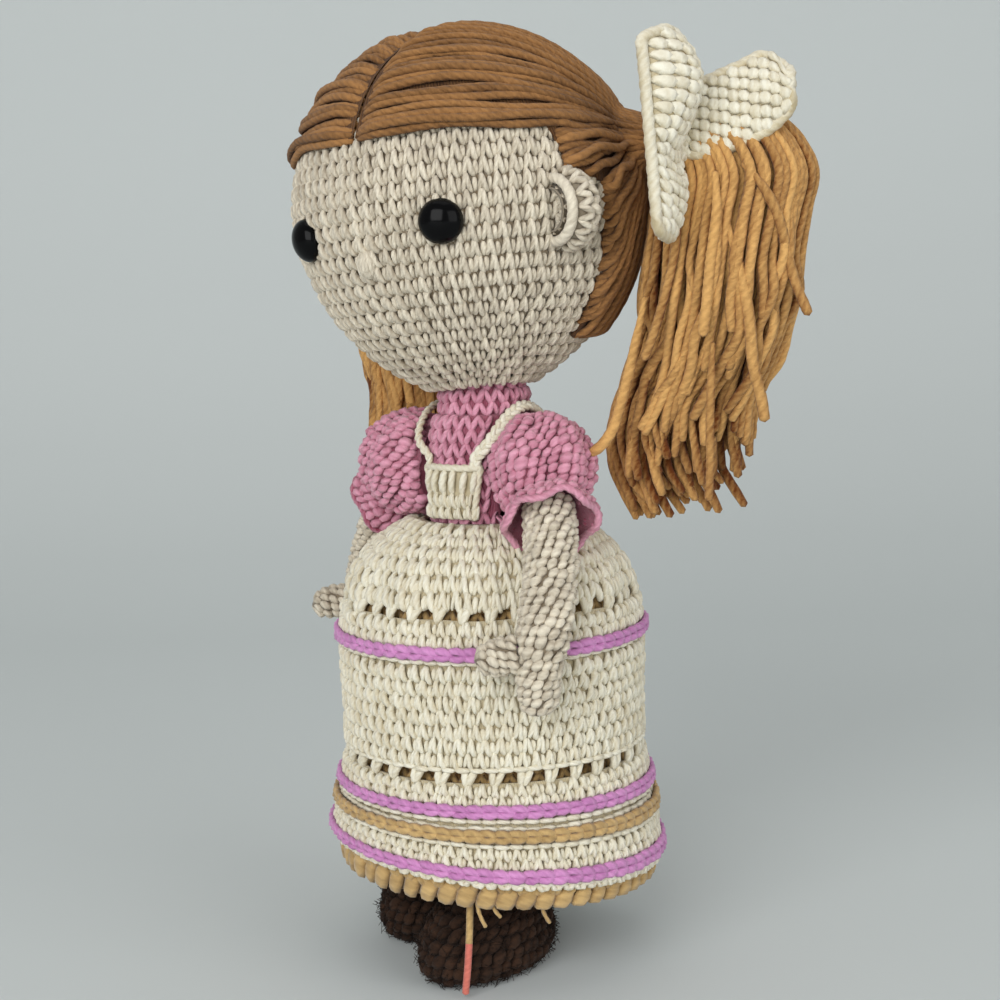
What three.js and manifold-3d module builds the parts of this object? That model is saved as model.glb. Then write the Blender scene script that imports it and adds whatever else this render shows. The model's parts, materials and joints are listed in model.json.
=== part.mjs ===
// A crocheted girl doll that stands on its own shoes. Millimetres, +Z up.
// It faces -Y, so its left side is +X. The origin is on the floor, under the middle of its box.
import * as THREE from 'three';
import { mergeVertices } from 'three/addons/utils/BufferGeometryUtils.js';
import Module from 'manifold-3d';

const wasm = await Module();
wasm.setup();
const radians = THREE.MathUtils.degToRad;

// Fit and fabric
const touch = 0.3; // clearance of pieces that touch
const fabric = 2.6; // wall of single crochet
const thinFabric = 2; // wall of the lining
const overrun = 4; // how far a cutter runs past what it cuts

// Head, measured up from the middle of the neck ball
const neckHeight = 187;
const neckRadius = 15;
const chinRise = 4.4;
const headRadius = 56;
const headHeight = 114.6;
const headTurn = radians(-1);
const headLean = radians(-4.3);

// Face
const eyeRadius = 7;
const eyeBulge = 5.6;
const eyeRise = 57.4;
const eyeAngle = radians(29);
const postRadius = 1.8;
const postLength = 8;
const washerRadius = 5.5;
const washerThickness = 2;
const noseWidth = 8;
const noseHeight = 8;
const noseDepth = 3;
const noseRise = 46.5;
const earWidth = 15;
const earHeight = 24;
const earDepth = 12;
const earRim = 2.6;
const earRise = 58;
const earAngles = { left: radians(71), right: radians(84) };

// Hair
const hairThickness = 5.5;
const hairlineRise = 85;
const napeRise = 20;
const sideHairDepth = 5;
const tieAngle = radians(110);
const tieRise = 79;
const tieStandoff = 3.5; // how far the tie stands off the hair
const rootRadius = 8;
const tieYarn = 1.8;
const bunchNeck = 8;
const pigtailWidth = 62;
const pigtailDepth = 44;
const pigtailTop = 4;
const pigtailDrops = { left: 119, right: 106 };

// Bows
const ribbon = 3;
const frontLoopHeight = 62;
const frontLoopLength = 24;
const frontLoopHollow = 12;
const rearLoopHeight = 25;
const rearLoopLength = 38;
const rearLoopLift = 10;
const knotRadius = 5;
const knotHeight = 15;
const knotStep = 3.5; // how far the knot sits past the tie

// Body, measured up from the floor
const shoulderHeight = 184.5;
const chestRadius = 18.6;
const hipRadius = 25;
const hipHeight = 104;
const hipSpacing = 26;

// Sleeves and arms
const pivotHeight = 167;
const pivotForward = 6;
const pivotSpacing = 52;
const sleeveRadius = 17.3;
const sleeveFold = 1.6;
const sleeveFolds = 8;
const armholeSpacing = 27;
const armRadius = 7.6;
const armDrop = 73;
const cuffFlare = 15;
const cuffLength = 8;
const cuffThickness = 1.8;
const cuffWave = 1.5;
const cuffWaves = 6;
const thumbRadius = 5;
const thumbLength = 21;
const thumbShare = 0.76; // of the way down the arm

// Pinafore
const bibHeight = 17;
const bibTopWidth = 22.6;
const bibWaistWidth = 17;
const strapDiameter = 2.7;
const skirtRadius = 50;
const skirtTop = 150;
const skirtHem = 37.5;
const hemRadius = 54.6;
const gatherDepth = 1.5;
const gathers = 12;
const hemDip = 6;
const bandHeight = 4;
const bandThickness = 1.1;
const bandLift = 0.5;
const middleBandHeight = 112;
const upperBandHeight = 61.5;
const tanBandHeight = 54;
const lowerBandHeight = 42;
const liningHem = 30;
const scallopDepth = 1.8;

// Legs and shoes
const thighRadius = 12;
const ankleRadius = 10;
const shoeLength = 57;
const shoeWidth = 35.6;
const shoeHeight = 27;
const soleCut = 0.5;
const feet = {
  left: { ankle: [8, -11], shoe: [8, -19] },
  right: { ankle: [-29, 14], shoe: [-29, 7] },
};

// Yarn ends
const tailDiameter = 2.3;

// Numbers of faces round and along the pieces
const headSides = 32;
const headRings = 12;
const hiddenSides = 18;
const dressSides = 48;
const bodySides = 20;
const limbSides = 14;
const smallSides = 10;

// Yarns and finishes
const yarn = (color, roughness = 0.95) => new THREE.MeshStandardMaterial({
  color,
  roughness,
  metalness: 0,
});
const beige = yarn(0xd8cbb6);
const honey = yarn(0xd09f62);
const cream = yarn(0xece6d4);
const pink = yarn(0xd884ac);
const orchid = yarn(0xd795cd);
const tan = yarn(0xc9a468);
const brown = yarn(0x3d2a20);
const coral = yarn(0xc96f5c);
const wadding = yarn(0xf4f2ee);
const black = yarn(0x050505, 0.12);
const nylon = yarn(0xe6e6e2, 0.4);

// A geometry with shared corners, no empty faces, and its faces pointing out
function weld(geometry) {
  const bare = new THREE.BufferGeometry();
  bare.setAttribute('position', geometry.getAttribute('position').clone());
  if (geometry.index) bare.setIndex(geometry.index.clone());
  const merged = mergeVertices(bare);
  const at = merged.getAttribute('position');
  const corners = [0, 1, 2].map(() => new THREE.Vector3());
  const kept = [];
  let volume = 0;
  for (let i = 0; i < merged.index.count; i += 3) {
    const face = [0, 1, 2].map((k) => merged.index.getX(i + k));
    if (new Set(face).size < 3) continue;
    face.forEach((vertex, k) => corners[k].fromBufferAttribute(at, vertex));
    volume += corners[0].dot(corners[1].clone().cross(corners[2]));
    kept.push(face);
  }
  const out = volume < 0 ? kept.map(([a, b, c]) => [a, c, b]) : kept;
  merged.setIndex(out.flat());
  return merged;
}

// The same shape as a solid that can be joined and cut, and back
function solid(geometry) {
  const closed = weld(geometry);
  const mesh = new wasm.Mesh({
    numProp: 3,
    vertProperties: new Float32Array(closed.getAttribute('position').array),
    triVerts: new Uint32Array(closed.index.array),
  });
  return new wasm.Manifold(mesh);
}

function shape(body) {
  const mesh = body.getMesh();
  const geometry = new THREE.BufferGeometry();
  const places = new Float32Array(mesh.vertProperties);
  geometry.setAttribute('position', new THREE.BufferAttribute(places, 3));
  geometry.setIndex(new THREE.BufferAttribute(new Uint32Array(mesh.triVerts), 1));
  return weld(geometry);
}

const cut = (body, ...tools) => shape(
  tools.reduce((left, tool) => left.subtract(solid(tool)), solid(body)),
);
const join = (body, ...others) => shape(
  others.reduce((sum, other) => sum.add(solid(other)), solid(body)),
);
const within = (body, region) => shape(solid(body).intersect(solid(region)));

// The smooth line through pairs of share and value
function smoothAt(pairs, share) {
  const last = pairs.length - 1;
  const after = Math.min(Math.max(pairs.findIndex(([at]) => at >= share), 1), last);
  const i = share >= pairs[last][0] ? last : after;
  const slope = (k) => {
    const [low, high] = [Math.max(k - 1, 0), Math.min(k + 1, last)];
    return (pairs[high][1] - pairs[low][1]) / (pairs[high][0] - pairs[low][0]);
  };
  const span = pairs[i][0] - pairs[i - 1][0];
  const s = THREE.MathUtils.clamp((share - pairs[i - 1][0]) / span, 0, 1);
  const [s2, s3] = [s * s, s * s * s];
  return (2 * s3 - 3 * s2 + 1) * pairs[i - 1][1] + (s3 - 2 * s2 + s) * span * slope(i - 1)
    + (3 * s2 - 2 * s3) * pairs[i][1] + (s3 - s2) * span * slope(i);
}

// Shares of a length, closer together at both ends
const easedShares = (count) => Array.from(
  { length: count + 1 },
  (_, i) => (1 - Math.cos((Math.PI * i) / count)) / 2,
);

// An outline of [radius, height] points turned about Z
function turned(outline, sides) {
  const profile = outline.map(([r, z]) => new THREE.Vector2(Math.max(r, 0), z));
  return weld(new THREE.LatheGeometry(profile, sides).rotateX(Math.PI / 2));
}

// The outline moved along its own normal, out of the solid for a distance over zero
function offset(outline, distance) {
  return outline.map(([r, z], i) => {
    const before = outline[Math.max(i - 1, 0)];
    const after = outline[Math.min(i + 1, outline.length - 1)];
    const along = new THREE.Vector2(after[0] - before[0], after[1] - before[1]).normalize();
    const onAxis = r === 0;
    const outwards = Math.sign(along.x === 0 ? 1 : -along.x);
    return onAxis ? [0, z + distance * outwards] : [r + along.y * distance, z - along.x * distance];
  });
}

// A wall between two outlines that run the same way
const wall = (outer, inner) => [...outer, ...inner.slice().reverse(), outer[0]];

// How far the middle of a flat face lies inside the circle through its corners
const facetSag = (radius, sides) => radius * (1 - Math.cos(Math.PI / sides));

// Rings of points skinned into a solid with a flat fan on each end
function loft(rings) {
  const count = rings[0].length;
  const middle = (ring) => ring.reduce((sum, p) => sum.add(p), new THREE.Vector3()).divideScalar(count);
  const points = [...rings.flat(), middle(rings[0]), middle(rings[rings.length - 1])];
  const [first, last] = [points.length - 2, points.length - 1];
  const faces = [];
  for (let k = 0; k < count; k += 1) {
    const next = (k + 1) % count;
    for (let r = 0; r < rings.length - 1; r += 1) {
      const [a, b] = [r * count + k, r * count + next];
      const [c, d] = [(r + 1) * count + next, (r + 1) * count + k];
      faces.push(a, b, c, a, c, d);
    }
    faces.push(first, next, k);
    faces.push(last, (rings.length - 1) * count + k, (rings.length - 1) * count + next);
  }
  const geometry = new THREE.BufferGeometry().setFromPoints(points);
  geometry.setIndex(faces);
  return weld(geometry);
}

// A tapering round limb along a curve. Radii are pairs of share along it and radius.
function limb(points, radii, shares, sides) {
  const curve = new THREE.CatmullRomCurve3(points.map((p) => new THREE.Vector3(...p)));
  const rings = shares.map((share) => {
    const centre = curve.getPointAt(share);
    const forward = curve.getTangentAt(share);
    const across = new THREE.Vector3(0, 1, 0).cross(forward).normalize();
    const up = forward.clone().cross(across);
    const radius = smoothAt(radii, share);
    return Array.from({ length: sides }, (_, k) => {
      const turn = (2 * Math.PI * k) / sides;
      return centre.clone()
        .addScaledVector(across, radius * Math.cos(turn))
        .addScaledVector(up, radius * Math.sin(turn));
    });
  });
  return loft(rings);
}

// A strip of even thickness laid over a grid of points. place(u, v, depth) gives each point.
function strip(place, stepsU, stepsV) {
  const rings = [];
  for (let i = 0; i <= stepsU; i += 1) {
    const ring = [];
    for (let j = 0; j <= stepsV; j += 1) ring.push(place(i / stepsU, j / stepsV, 1));
    for (let j = stepsV; j >= 0; j -= 1) ring.push(place(i / stepsU, j / stepsV, 0));
    rings.push(ring);
  }
  return loft(rings);
}

// Moves every corner of a geometry by a rule
function reshaped(geometry, rule) {
  const at = geometry.getAttribute('position');
  const point = new THREE.Vector3();
  for (let i = 0; i < at.count; i += 1) {
    point.fromBufferAttribute(at, i);
    rule(point);
    at.setXYZ(i, point.x, point.y, point.z);
  }
  return geometry;
}

const box = (low, high) => {
  const size = new THREE.Vector3(...high).sub(new THREE.Vector3(...low));
  const centre = new THREE.Vector3(...high).add(new THREE.Vector3(...low)).divideScalar(2);
  return new THREE.BoxGeometry(size.x, size.y, size.z).translate(centre.x, centre.y, centre.z);
};
const ball = (radius, sides = bodySides) => new THREE.SphereGeometry(radius, sides, sides / 2)
  .rotateX(Math.PI / 2);
const sided = (geometry, side) => (side < 0 ? weld(geometry.clone().scale(-1, 1, 1)) : geometry);

function piece(name, geometry, material, parent) {
  const mesh = new THREE.Mesh(geometry, material);
  mesh.name = name;
  parent.add(mesh);
  return mesh;
}

const doll = new THREE.Group();
const sides = [['left', 1], ['right', -1]];

// Head: an egg with its blunt end up. Pairs of share of the height and share of the radius.
const cheekShares = [
  [0, 0.275], [0.032, 0.35], [0.065, 0.465], [0.11, 0.585], [0.17, 0.705],
  [0.24, 0.815], [0.32, 0.9], [0.42, 0.965], [0.525, 1],
];
const widestShare = 0.525;
const headShareAt = (share) => (share <= widestShare
  ? smoothAt(cheekShares, share)
  : Math.sqrt(Math.max(1 - ((share - widestShare) / (1 - widestShare)) ** 2, 0)));
const headRadiusAt = (rise) => headRadius * headShareAt((rise - chinRise) / headHeight);
const headOutline = [
  ...easedShares(headRings / 2).map((s) => s * widestShare),
  ...Array.from({ length: headRings / 2 }, (_, i) => widestShare
    + (1 - widestShare) * Math.sin((Math.PI / 2) * ((i + 1) / (headRings / 2)))),
].map((share) => [share === 1 ? 0 : headRadius * headShareAt(share), chinRise + headHeight * share]);

const head = new THREE.Group();
head.position.z = neckHeight;
head.rotation.set(0, headLean, headTurn);
doll.add(head);

// An outline closed onto the axis at its foot
const capped = (outline) => [[0, outline[0][1]], ...outline];
const headSolid = turned(capped(headOutline), headSides);
const headGuard = turned(capped(offset(headOutline, touch + facetSag(headRadius, headSides))), headSides);
const neckSocket = ball(neckRadius + touch);

// A frame just off the head's surface, with Z pointing squarely out of it
function onHead(angle, rise) {
  const slope = Math.atan2(headRadiusAt(rise + touch) - headRadiusAt(rise - touch), 2 * touch);
  const out = new THREE.Vector3(Math.sin(angle), -Math.cos(angle), 0).multiplyScalar(Math.cos(slope));
  out.z = -Math.sin(slope);
  const frame = new THREE.Group();
  const reach = headRadiusAt(rise);
  frame.position.set(Math.sin(angle) * reach, -Math.cos(angle) * reach, rise).addScaledVector(out, touch);
  frame.quaternion.setFromUnitVectors(new THREE.Vector3(0, 0, 1), out);
  frame.updateMatrix();
  head.add(frame);
  return frame;
}
const placed = (geometry, frame) => geometry.clone().applyMatrix4(frame.matrix);

// Safety eyes: a domed front on a post, locked by a washer behind the crochet
const domeShares = [0, 0.25, 0.5, 0.75, 1];
const eyeOutline = [
  [0, -postLength], [postRadius, -postLength], [postRadius, 0],
  ...domeShares.map((s) => (s * Math.PI) / 2)
    .map((turn) => [eyeRadius * Math.cos(turn), eyeBulge * Math.sin(turn)]),
].map(([r, z], i, all) => [i === all.length - 1 ? 0 : r, z]);
const headCurve = Math.min(headRadius, ((1 - widestShare) * headHeight) ** 2 / headRadius);
const washerTop = -(fabric + 2 * touch + eyeRadius ** 2 / (2 * headCurve));
const washerOutline = [
  [postRadius + touch, washerTop], [postRadius + touch, washerTop - washerThickness],
  [washerRadius, washerTop - washerThickness], [washerRadius, washerTop], [postRadius + touch, washerTop],
];
const postHole = turned([
  [0, -postLength - overrun], [postRadius + touch, -postLength - overrun],
  [postRadius + touch, overrun], [0, overrun],
], smallSides);
const washerPocket = turned([
  [0, -postLength - touch], [washerRadius + touch, -postLength - touch],
  [washerRadius + touch, overrun], [0, overrun],
], smallSides);
const eyeFrames = sides.map(([, side]) => onHead(side * eyeAngle, eyeRise));
sides.forEach(([name], i) => {
  piece(`${name}_eye`, turned(eyeOutline, limbSides), black, eyeFrames[i]);
  piece(`${name}_eye_washer`, turned(washerOutline, smallSides), nylon, eyeFrames[i]);
});

// The crocheted skin is open at the neck, and the wadding fills it
const cavity = turned(capped([
  [headOutline[0][0] - fabric, headOutline[0][1] - overrun], ...offset(headOutline, -fabric),
]), headSides);
const eyeHoles = eyeFrames.map((frame) => placed(postHole, frame));
piece('head_skin', cut(headSolid, cavity, neckSocket, ...eyeHoles), beige, head);
const innerHead = headOutline.filter((point, i) => i % 2 === 0);
const waddingGap = fabric + touch + facetSag(headRadius, headSides);
piece('head_wadding', cut(
  turned(capped(offset(innerHead, -waddingGap)), hiddenSides),
  neckSocket,
  ...eyeFrames.map((frame) => placed(washerPocket, frame)),
), wadding, head);

// Nose: a small wrapped bump
const noseBall = ball(1, smallSides)
  .scale(noseWidth / 2, noseDepth, noseHeight / 2)
  .translate(0, -headRadiusAt(noseRise), noseRise);
piece('nose', cut(noseBall, headGuard), beige, head);

// Ears: half cups that open towards the face, one set further back than the other
const earReach = headRadiusAt(earRise);
const ears = Object.fromEntries(sides.map(([name, side]) => {
  const angle = earAngles[name];
  const place = (grow, shift = 0) => ball(1, limbSides)
    .scale(earDepth + grow, earWidth / 2 + grow, earHeight / 2 + grow)
    .translate(0, -shift, 0)
    .rotateZ(angle - Math.PI / 2)
    .translate(Math.sin(angle) * earReach, -Math.cos(angle) * earReach, earRise);
  piece(`${name}_ear`, sided(cut(place(0), place(-earRim, 2 * earRim), headGuard), side), beige, head);
  return [name, place(touch)];
}));

// Hair: a thick cap in two halves that meet in the parting, each drawn out to its tie
const tieReach = headRadius + hairThickness + tieStandoff;
const outward = new THREE.Vector3(Math.sin(tieAngle), -Math.cos(tieAngle), 0);
const backward = new THREE.Vector3(0, 0, 1).cross(outward);
const tiePoint = outward.clone().multiplyScalar(tieReach).setZ(tieRise);
const facingOut = (geometry) => geometry.rotateZ(Math.atan2(outward.y, outward.x));
const hairCap = turned(capped(offset(headOutline, hairThickness)), headSides);
const hairReach = headRadius + hairThickness + overrun;
const hairTop = chinRise + headHeight + hairThickness + overrun;
const crownRegion = box([touch / 2, -hairReach, hairlineRise], [hairReach, hairReach, hairTop]);
const backRegion = box(
  [touch / 2, -sideHairDepth, napeRise],
  [hairReach, hairReach, hairlineRise + overrun],
);
const hairRoot = facingOut(new THREE.CylinderGeometry(rootRadius, rootRadius, tieReach / 2, limbSides)
  .rotateZ(Math.PI / 2)
  .translate(tieReach * 0.75 - touch, 0, tieRise));
const halfCap = cut(join(within(hairCap, join(crownRegion, backRegion)), hairRoot), headGuard);
sides.forEach(([name, side]) => {
  piece(`${name}_hair`, sided(cut(halfCap, ears[name]), side), honey, head);
});

// Pigtails: a bunch gathered by its tie that fans out and hangs. Shares of the drop below the tie,
// then of the width for the middle and the half width, then of the depth for the same two. The
// left one ends in a point below the head, and the right one is slimmer and blunt.
const pigtailShares = {
  left: [
    [-0.03, 0.37, 0.12, 0, 0.12], [-0.018, 0.37, 0.26, 0, 0.24], [0.03, 0.4, 0.38, 0, 0.34],
    [0.15, 0.385, 0.42, 0, 0.42], [0.35, 0.3, 0.41, 0, 0.46], [0.55, 0.18, 0.38, 0.1, 0.44],
    [0.75, 0.05, 0.38, 0.22, 0.38], [0.9, -0.03, 0.28, 0.25, 0.3], [1, -0.1, 0.12, 0.25, 0.14],
  ],
  right: [
    [-0.03, 0.31, 0.1, 0, 0.12], [-0.018, 0.31, 0.18, 0, 0.24], [0.03, 0.3, 0.24, 0, 0.34],
    [0.15, 0.3, 0.27, 0.02, 0.4], [0.35, 0.26, 0.34, 0.08, 0.42], [0.55, 0.21, 0.41, 0.16, 0.44],
    [0.75, 0.2, 0.46, 0.22, 0.43], [0.9, 0.21, 0.44, 0.25, 0.36], [1, 0.18, 0.3, 0.25, 0.2],
  ],
};
function pigtailRings(name, lift = 0) {
  const drop = pigtailDrops[name];
  return pigtailShares[name].map(([down, middle, halfWidth, back, halfDepth], i) => Array.from(
    { length: limbSides },
    (_, k) => {
      const turn = (2 * Math.PI * k) / limbSides;
      return new THREE.Vector3(
        pigtailWidth * (middle + halfWidth * Math.cos(turn)),
        pigtailDepth * (back + halfDepth * Math.sin(turn)),
        (i === 0 ? pigtailTop : -down * drop) + lift,
      );
    },
  ));
}
const bunch = new THREE.CylinderGeometry(rootRadius, rootRadius, bunchNeck + overrun, limbSides)
  .rotateZ(Math.PI / 2)
  .translate((bunchNeck + overrun) / 2, 0, 0);
const tieSeat = rootRadius + touch + tieYarn;
const tieOf = (radius) => facingOut(new THREE.TorusGeometry(tieSeat, radius, 6, limbSides)
  .rotateY(Math.PI / 2)
  .translate(tieYarn + touch, 0, 0));
const tieGuard = tieOf(tieYarn + touch);
const tieRoom = turned([
  [0, -touch], [tieSeat + tieYarn + touch, -touch],
  [tieSeat + tieYarn + touch, 2 * (tieYarn + touch)], [0, 2 * (tieYarn + touch)],
], limbSides).rotateY(Math.PI / 2);

// Bows: a ribbon tied round the bunch. Its front loop is a cup that stands upright and opens to
// the side, and its rear loop reaches out over the top of the bunch. Shares go along the loop and,
// for the hollow, up it.
const frontShares = [[0, 0.4], [0.3, 0.85], [0.65, 1], [1, 0.9]];
const rearShares = [[0, 0.4], [0.2, 0.85], [0.6, 1], [0.9, 0.9], [1, 0.5]];
const hollowShares = [[0, 0.05], [0.2, 0.35], [0.4, 0.15], [0.55, 0.6], [0.75, 1], [0.9, 0.85], [1, 0.5]];
const loopHollow = (hollow) => (u, v) => hollow * smoothAt(hollowShares, v) * Math.sin(Math.PI * u);
function loopOf(length, height, shares, dropShare, lift, bulge) {
  return strip((u, v, depth) => {
    const spread = height * smoothAt(shares, u);
    return new THREE.Vector3(
      length * u,
      bulge(u, v) + depth * ribbon,
      spread * (v - dropShare) + lift * u * u,
    );
  }, 5, 6);
}
const outwardYaw = Math.atan2(outward.y, outward.x);
const frontYaw = outwardYaw - radians(95);
const rearYaws = { left: outwardYaw + radians(4), right: outwardYaw - radians(4) };
const rearTilt = radians(-15);
const knotAt = outward.clone().multiplyScalar(2 * tieYarn + touch + knotStep)
  .addScaledVector(backward, -(tieSeat + tieYarn / 2 + knotRadius))
  .setZ(-tieSeat / 4);
const knotOf = (radius, height) => new THREE.CylinderGeometry(radius, radius, height, smallSides)
  .rotateX(Math.PI / 2)
  .translate(knotAt.x, knotAt.y, knotAt.z);
const knotGuard = knotOf(knotRadius + touch, frontLoopHeight);
const frontLoop = loopOf(
  frontLoopLength, frontLoopHeight, frontShares, 0.49, 0, loopHollow(frontLoopHollow),
).rotateZ(frontYaw).translate(knotAt.x, knotAt.y, knotAt.z);
const rearLoopAt = (yaw) => loopOf(
  rearLoopLength, rearLoopHeight, rearShares, 0.25, rearLoopLift,
  (u, v) => -ribbon * Math.sin(Math.PI * v) * u,
).rotateX(rearTilt)
  .rotateZ(yaw)
  .translate(knotAt.x, knotAt.y, knotAt.z);

// The right bow has slipped round its bunch to the back
const slipped = (geometry) => weld(geometry.rotateZ(-outwardYaw).scale(1, -1, 1).rotateZ(outwardYaw));
sides.forEach(([name, side]) => {
  const bunchGroup = new THREE.Group();
  bunchGroup.position.set(side * tiePoint.x, tiePoint.y, tiePoint.z);
  head.add(bunchGroup);
  const pigtail = facingOut(join(cut(loft(pigtailRings(name)), tieRoom), bunch));
  const ownGuard = facingOut(loft(pigtailRings(name, 2 * touch)));
  const pigtailGuard = side < 0 ? slipped(ownGuard) : ownGuard;
  piece(`${name}_pigtail`, sided(pigtail, side), honey, bunchGroup);
  piece(`${name}_hair_tie`, sided(tieOf(tieYarn), side), honey, bunchGroup);
  const bow = {
    knot: cut(knotOf(knotRadius, knotHeight), tieGuard, pigtailGuard),
    front: cut(frontLoop, knotGuard),
    rear: cut(rearLoopAt(rearYaws[name]), knotGuard, pigtailGuard, frontLoop),
  };
  Object.entries(bow).forEach(([kind, geometry]) => {
    const turnedBow = side < 0 ? slipped(geometry) : weld(geometry);
    piece(`${name}_bow_${kind}`, sided(turnedBow, side), cream, bunchGroup);
  });
});

// Neck: a stuffed ball that the head turns and nods on
const neckSeat = -Math.sqrt(neckRadius ** 2 - (neckRadius - fabric) ** 2);
const neck = new THREE.Group();
neck.position.z = neckHeight;
doll.add(neck);
piece('neck', within(ball(neckRadius), box(
  [-neckRadius, -neckRadius, neckSeat],
  [neckRadius, neckRadius, neckRadius],
)), pink, neck);

// Body: pairs of share of its height and share of the chest, from between the legs to the shoulders
const bodyBottom = hipHeight + thighRadius / 2;
const bodyHeight = shoulderHeight - bodyBottom;
const bodyShares = [
  [0, 0.9], [0.06, 1.22], [0.16, 1.34], [0.35, 1.15], [0.52, 0.98],
  [0.68, 1], [0.88, 0.99], [0.95, 0.94], [1, 0.84],
];
const bodyRadiusAt = (height) => chestRadius * smoothAt(bodyShares, (height - bodyBottom) / bodyHeight);
const bodyOutline = easedShares(10).map((share) => {
  const height = bodyBottom + bodyHeight * share;
  return [bodyRadiusAt(height), height];
});
const pivotOut = pivotSpacing / 2;
const armholeOut = armholeSpacing / 2;
const roller = (radius, length) => new THREE.CylinderGeometry(radius, radius, length, bodySides)
  .rotateZ(Math.PI / 2);
const armhole = (side) => roller(sleeveRadius + touch, pivotOut)
  .translate(side * (armholeOut + pivotOut / 2), -pivotForward, pivotHeight);
const hipOut = hipSpacing / 2;
const hipSocket = (side) => roller(thighRadius + touch, hipSpacing)
  .translate(side * hipOut, 0, hipHeight);
const lidded = (outline) => [...capped(outline), [0, outline[outline.length - 1][1]]];
const socketOnBody = neckSocket.clone().translate(0, 0, neckHeight);
const innerOutline = offset(bodyOutline, -fabric);
const mouth = [neckRadius - 2 * fabric, shoulderHeight + overrun];
const flatSides = armholeOut - fabric;
const slab = (half) => box([-half, -hipRadius, bodyBottom - overrun], [half, hipRadius, neckHeight]);
const hollow = within(turned(lidded([
  [innerOutline[0][0], bodyBottom + thighRadius],
  ...innerOutline.filter(([, z]) => z > bodyBottom + thighRadius),
  mouth,
]), bodySides), slab(flatSides));
const filling = within(turned(lidded([
  [innerOutline[0][0] - touch, bodyBottom + thighRadius + touch],
  ...offset(innerOutline, -touch).filter(([, z]) => z > bodyBottom + thighRadius + touch),
]), bodySides), slab(flatSides - touch));
piece('body_skin', cut(
  turned(lidded(bodyOutline), bodySides),
  hollow, socketOnBody, armhole(1), armhole(-1), hipSocket(1), hipSocket(-1),
), pink, doll);
piece('body_wadding', cut(filling, socketOnBody), wadding, doll);

// Skirt: a bell that gathers into the waist and dips on its left side. Pairs of height and radius.
const skirtHeight = skirtTop - skirtHem;
const bellShares = [
  [0, hemRadius / skirtRadius], [0.05, 1.085], [0.14, 1.055], [0.22, 1.02], [0.34, 0.99], [0.66, 1],
  [0.745, 0.97], [0.83, 0.9], [0.9, 0.8], [0.945, 0.68], [0.98, 0.54], [1, 0.42],
];
const skirtRadiusAt = (height) => skirtRadius * smoothAt(bellShares, (height - skirtHem) / skirtHeight);
const skirtSteps = [0, 0.07, 0.15, 0.24, 0.45, 0.66, 0.78, 0.86, 0.92, 0.96, 1];
const skirtOutline = skirtSteps.map((share) => {
  const height = skirtHem + skirtHeight * share;
  return [skirtRadiusAt(height), height];
});

// Sleeves: puffs gathered in folds round the arm, flat where they meet the body
const sleeveAxis = new THREE.Vector3(0.35, -0.3, -1).normalize();
const toSleeveAxis = new THREE.Quaternion()
  .setFromUnitVectors(new THREE.Vector3(0, 0, 1), sleeveAxis);
const puff = weld(reshaped(weld(ball(1, 2 * smallSides)), (p) => {
  const turn = Math.atan2(p.y, p.x);
  const belly = p.x ** 2 + p.y ** 2;
  p.multiplyScalar(sleeveRadius - (sleeveFold * belly * (1 + Math.cos(sleeveFolds * turn))) / 2);
}).applyQuaternion(toSleeveAxis));
const sleeveFace = armholeOut + touch - pivotOut;
const sleeve = within(puff, box(
  [sleeveFace, -2 * sleeveRadius, -2 * sleeveRadius],
  [2 * sleeveRadius, 2 * sleeveRadius, 2 * sleeveRadius],
));

// Arms: each hangs over the skirt. Places are shares of the reach from the shoulder's pivot.
const armShares = {
  left: [
    [0, 0, 0], [0.09, -0.09, -0.1], [0.165, -0.18, -0.2], [0.238, -0.29, -0.35],
    [0.28, -0.385, -0.527], [0.295, -0.455, -0.69], [0.285, -0.475, -0.84], [0.275, -0.475, -1],
  ],
  right: [
    [0, 0, 0], [0.125, 0.07, -0.1], [0.24, 0.15, -0.2], [0.36, 0.19, -0.35],
    [0.45, 0.215, -0.527], [0.495, 0.225, -0.69], [0.5, 0.24, -0.84], [0.49, 0.24, -1],
  ],
};
const armRadii = [
  [0, armRadius], [0.6, armRadius], [0.72, armRadius * 0.98], [0.8, armRadius * 0.84],
  [0.9, armRadius * 0.78], [0.96, armRadius * 0.62], [0.99, armRadius * 0.36], [1, armRadius * 0.1],
];
const armSteps = [0.05, 0.2, 0.35, 0.5, 0.62, 0.72, 0.8, 0.87, 0.93, 0.965, 0.99, 1];
const thumbAim = new THREE.Vector3(-0.8, -0.58, -0.16).normalize();
const sleeveBall = ball(sleeveRadius + touch, 2 * smallSides);

const cuffOutline = [
  [armRadius + touch, sleeveRadius - fabric], [armRadius + fabric, sleeveRadius - fabric],
  [cuffFlare, sleeveRadius + cuffLength - fabric], [cuffFlare - cuffThickness, sleeveRadius + cuffLength],
  [armRadius + touch, sleeveRadius + cuffThickness],
];
const upright = new THREE.Vector3(0, 0, 1);
const skirtRoom = turned(lidded(offset(skirtOutline, gatherDepth + touch)), bodySides);
const swings = [0, 15, 30, 45, 60, 75, 90].map(radians);
function cuffAlong(axis, shoulder, armGuard) {
  const ruffle = reshaped(turned([...cuffOutline, cuffOutline[0]], 4 * cuffWaves), (p) => {
    const beyond = Math.max(Math.hypot(p.x, p.y) - armRadius - fabric, 0);
    const flare = beyond / (cuffFlare - armRadius - fabric);
    p.z += cuffWave * flare * Math.cos(cuffWaves * Math.atan2(p.y, p.x));
  }).applyQuaternion(new THREE.Quaternion().setFromUnitVectors(upright, axis));
  const rooms = swings.map((swing) => skirtRoom.clone()
    .translate(-shoulder.x, -shoulder.y, -shoulder.z)
    .rotateX(swing));
  return cut(ruffle, sleeveBall, armGuard, ...rooms);
}

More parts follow.
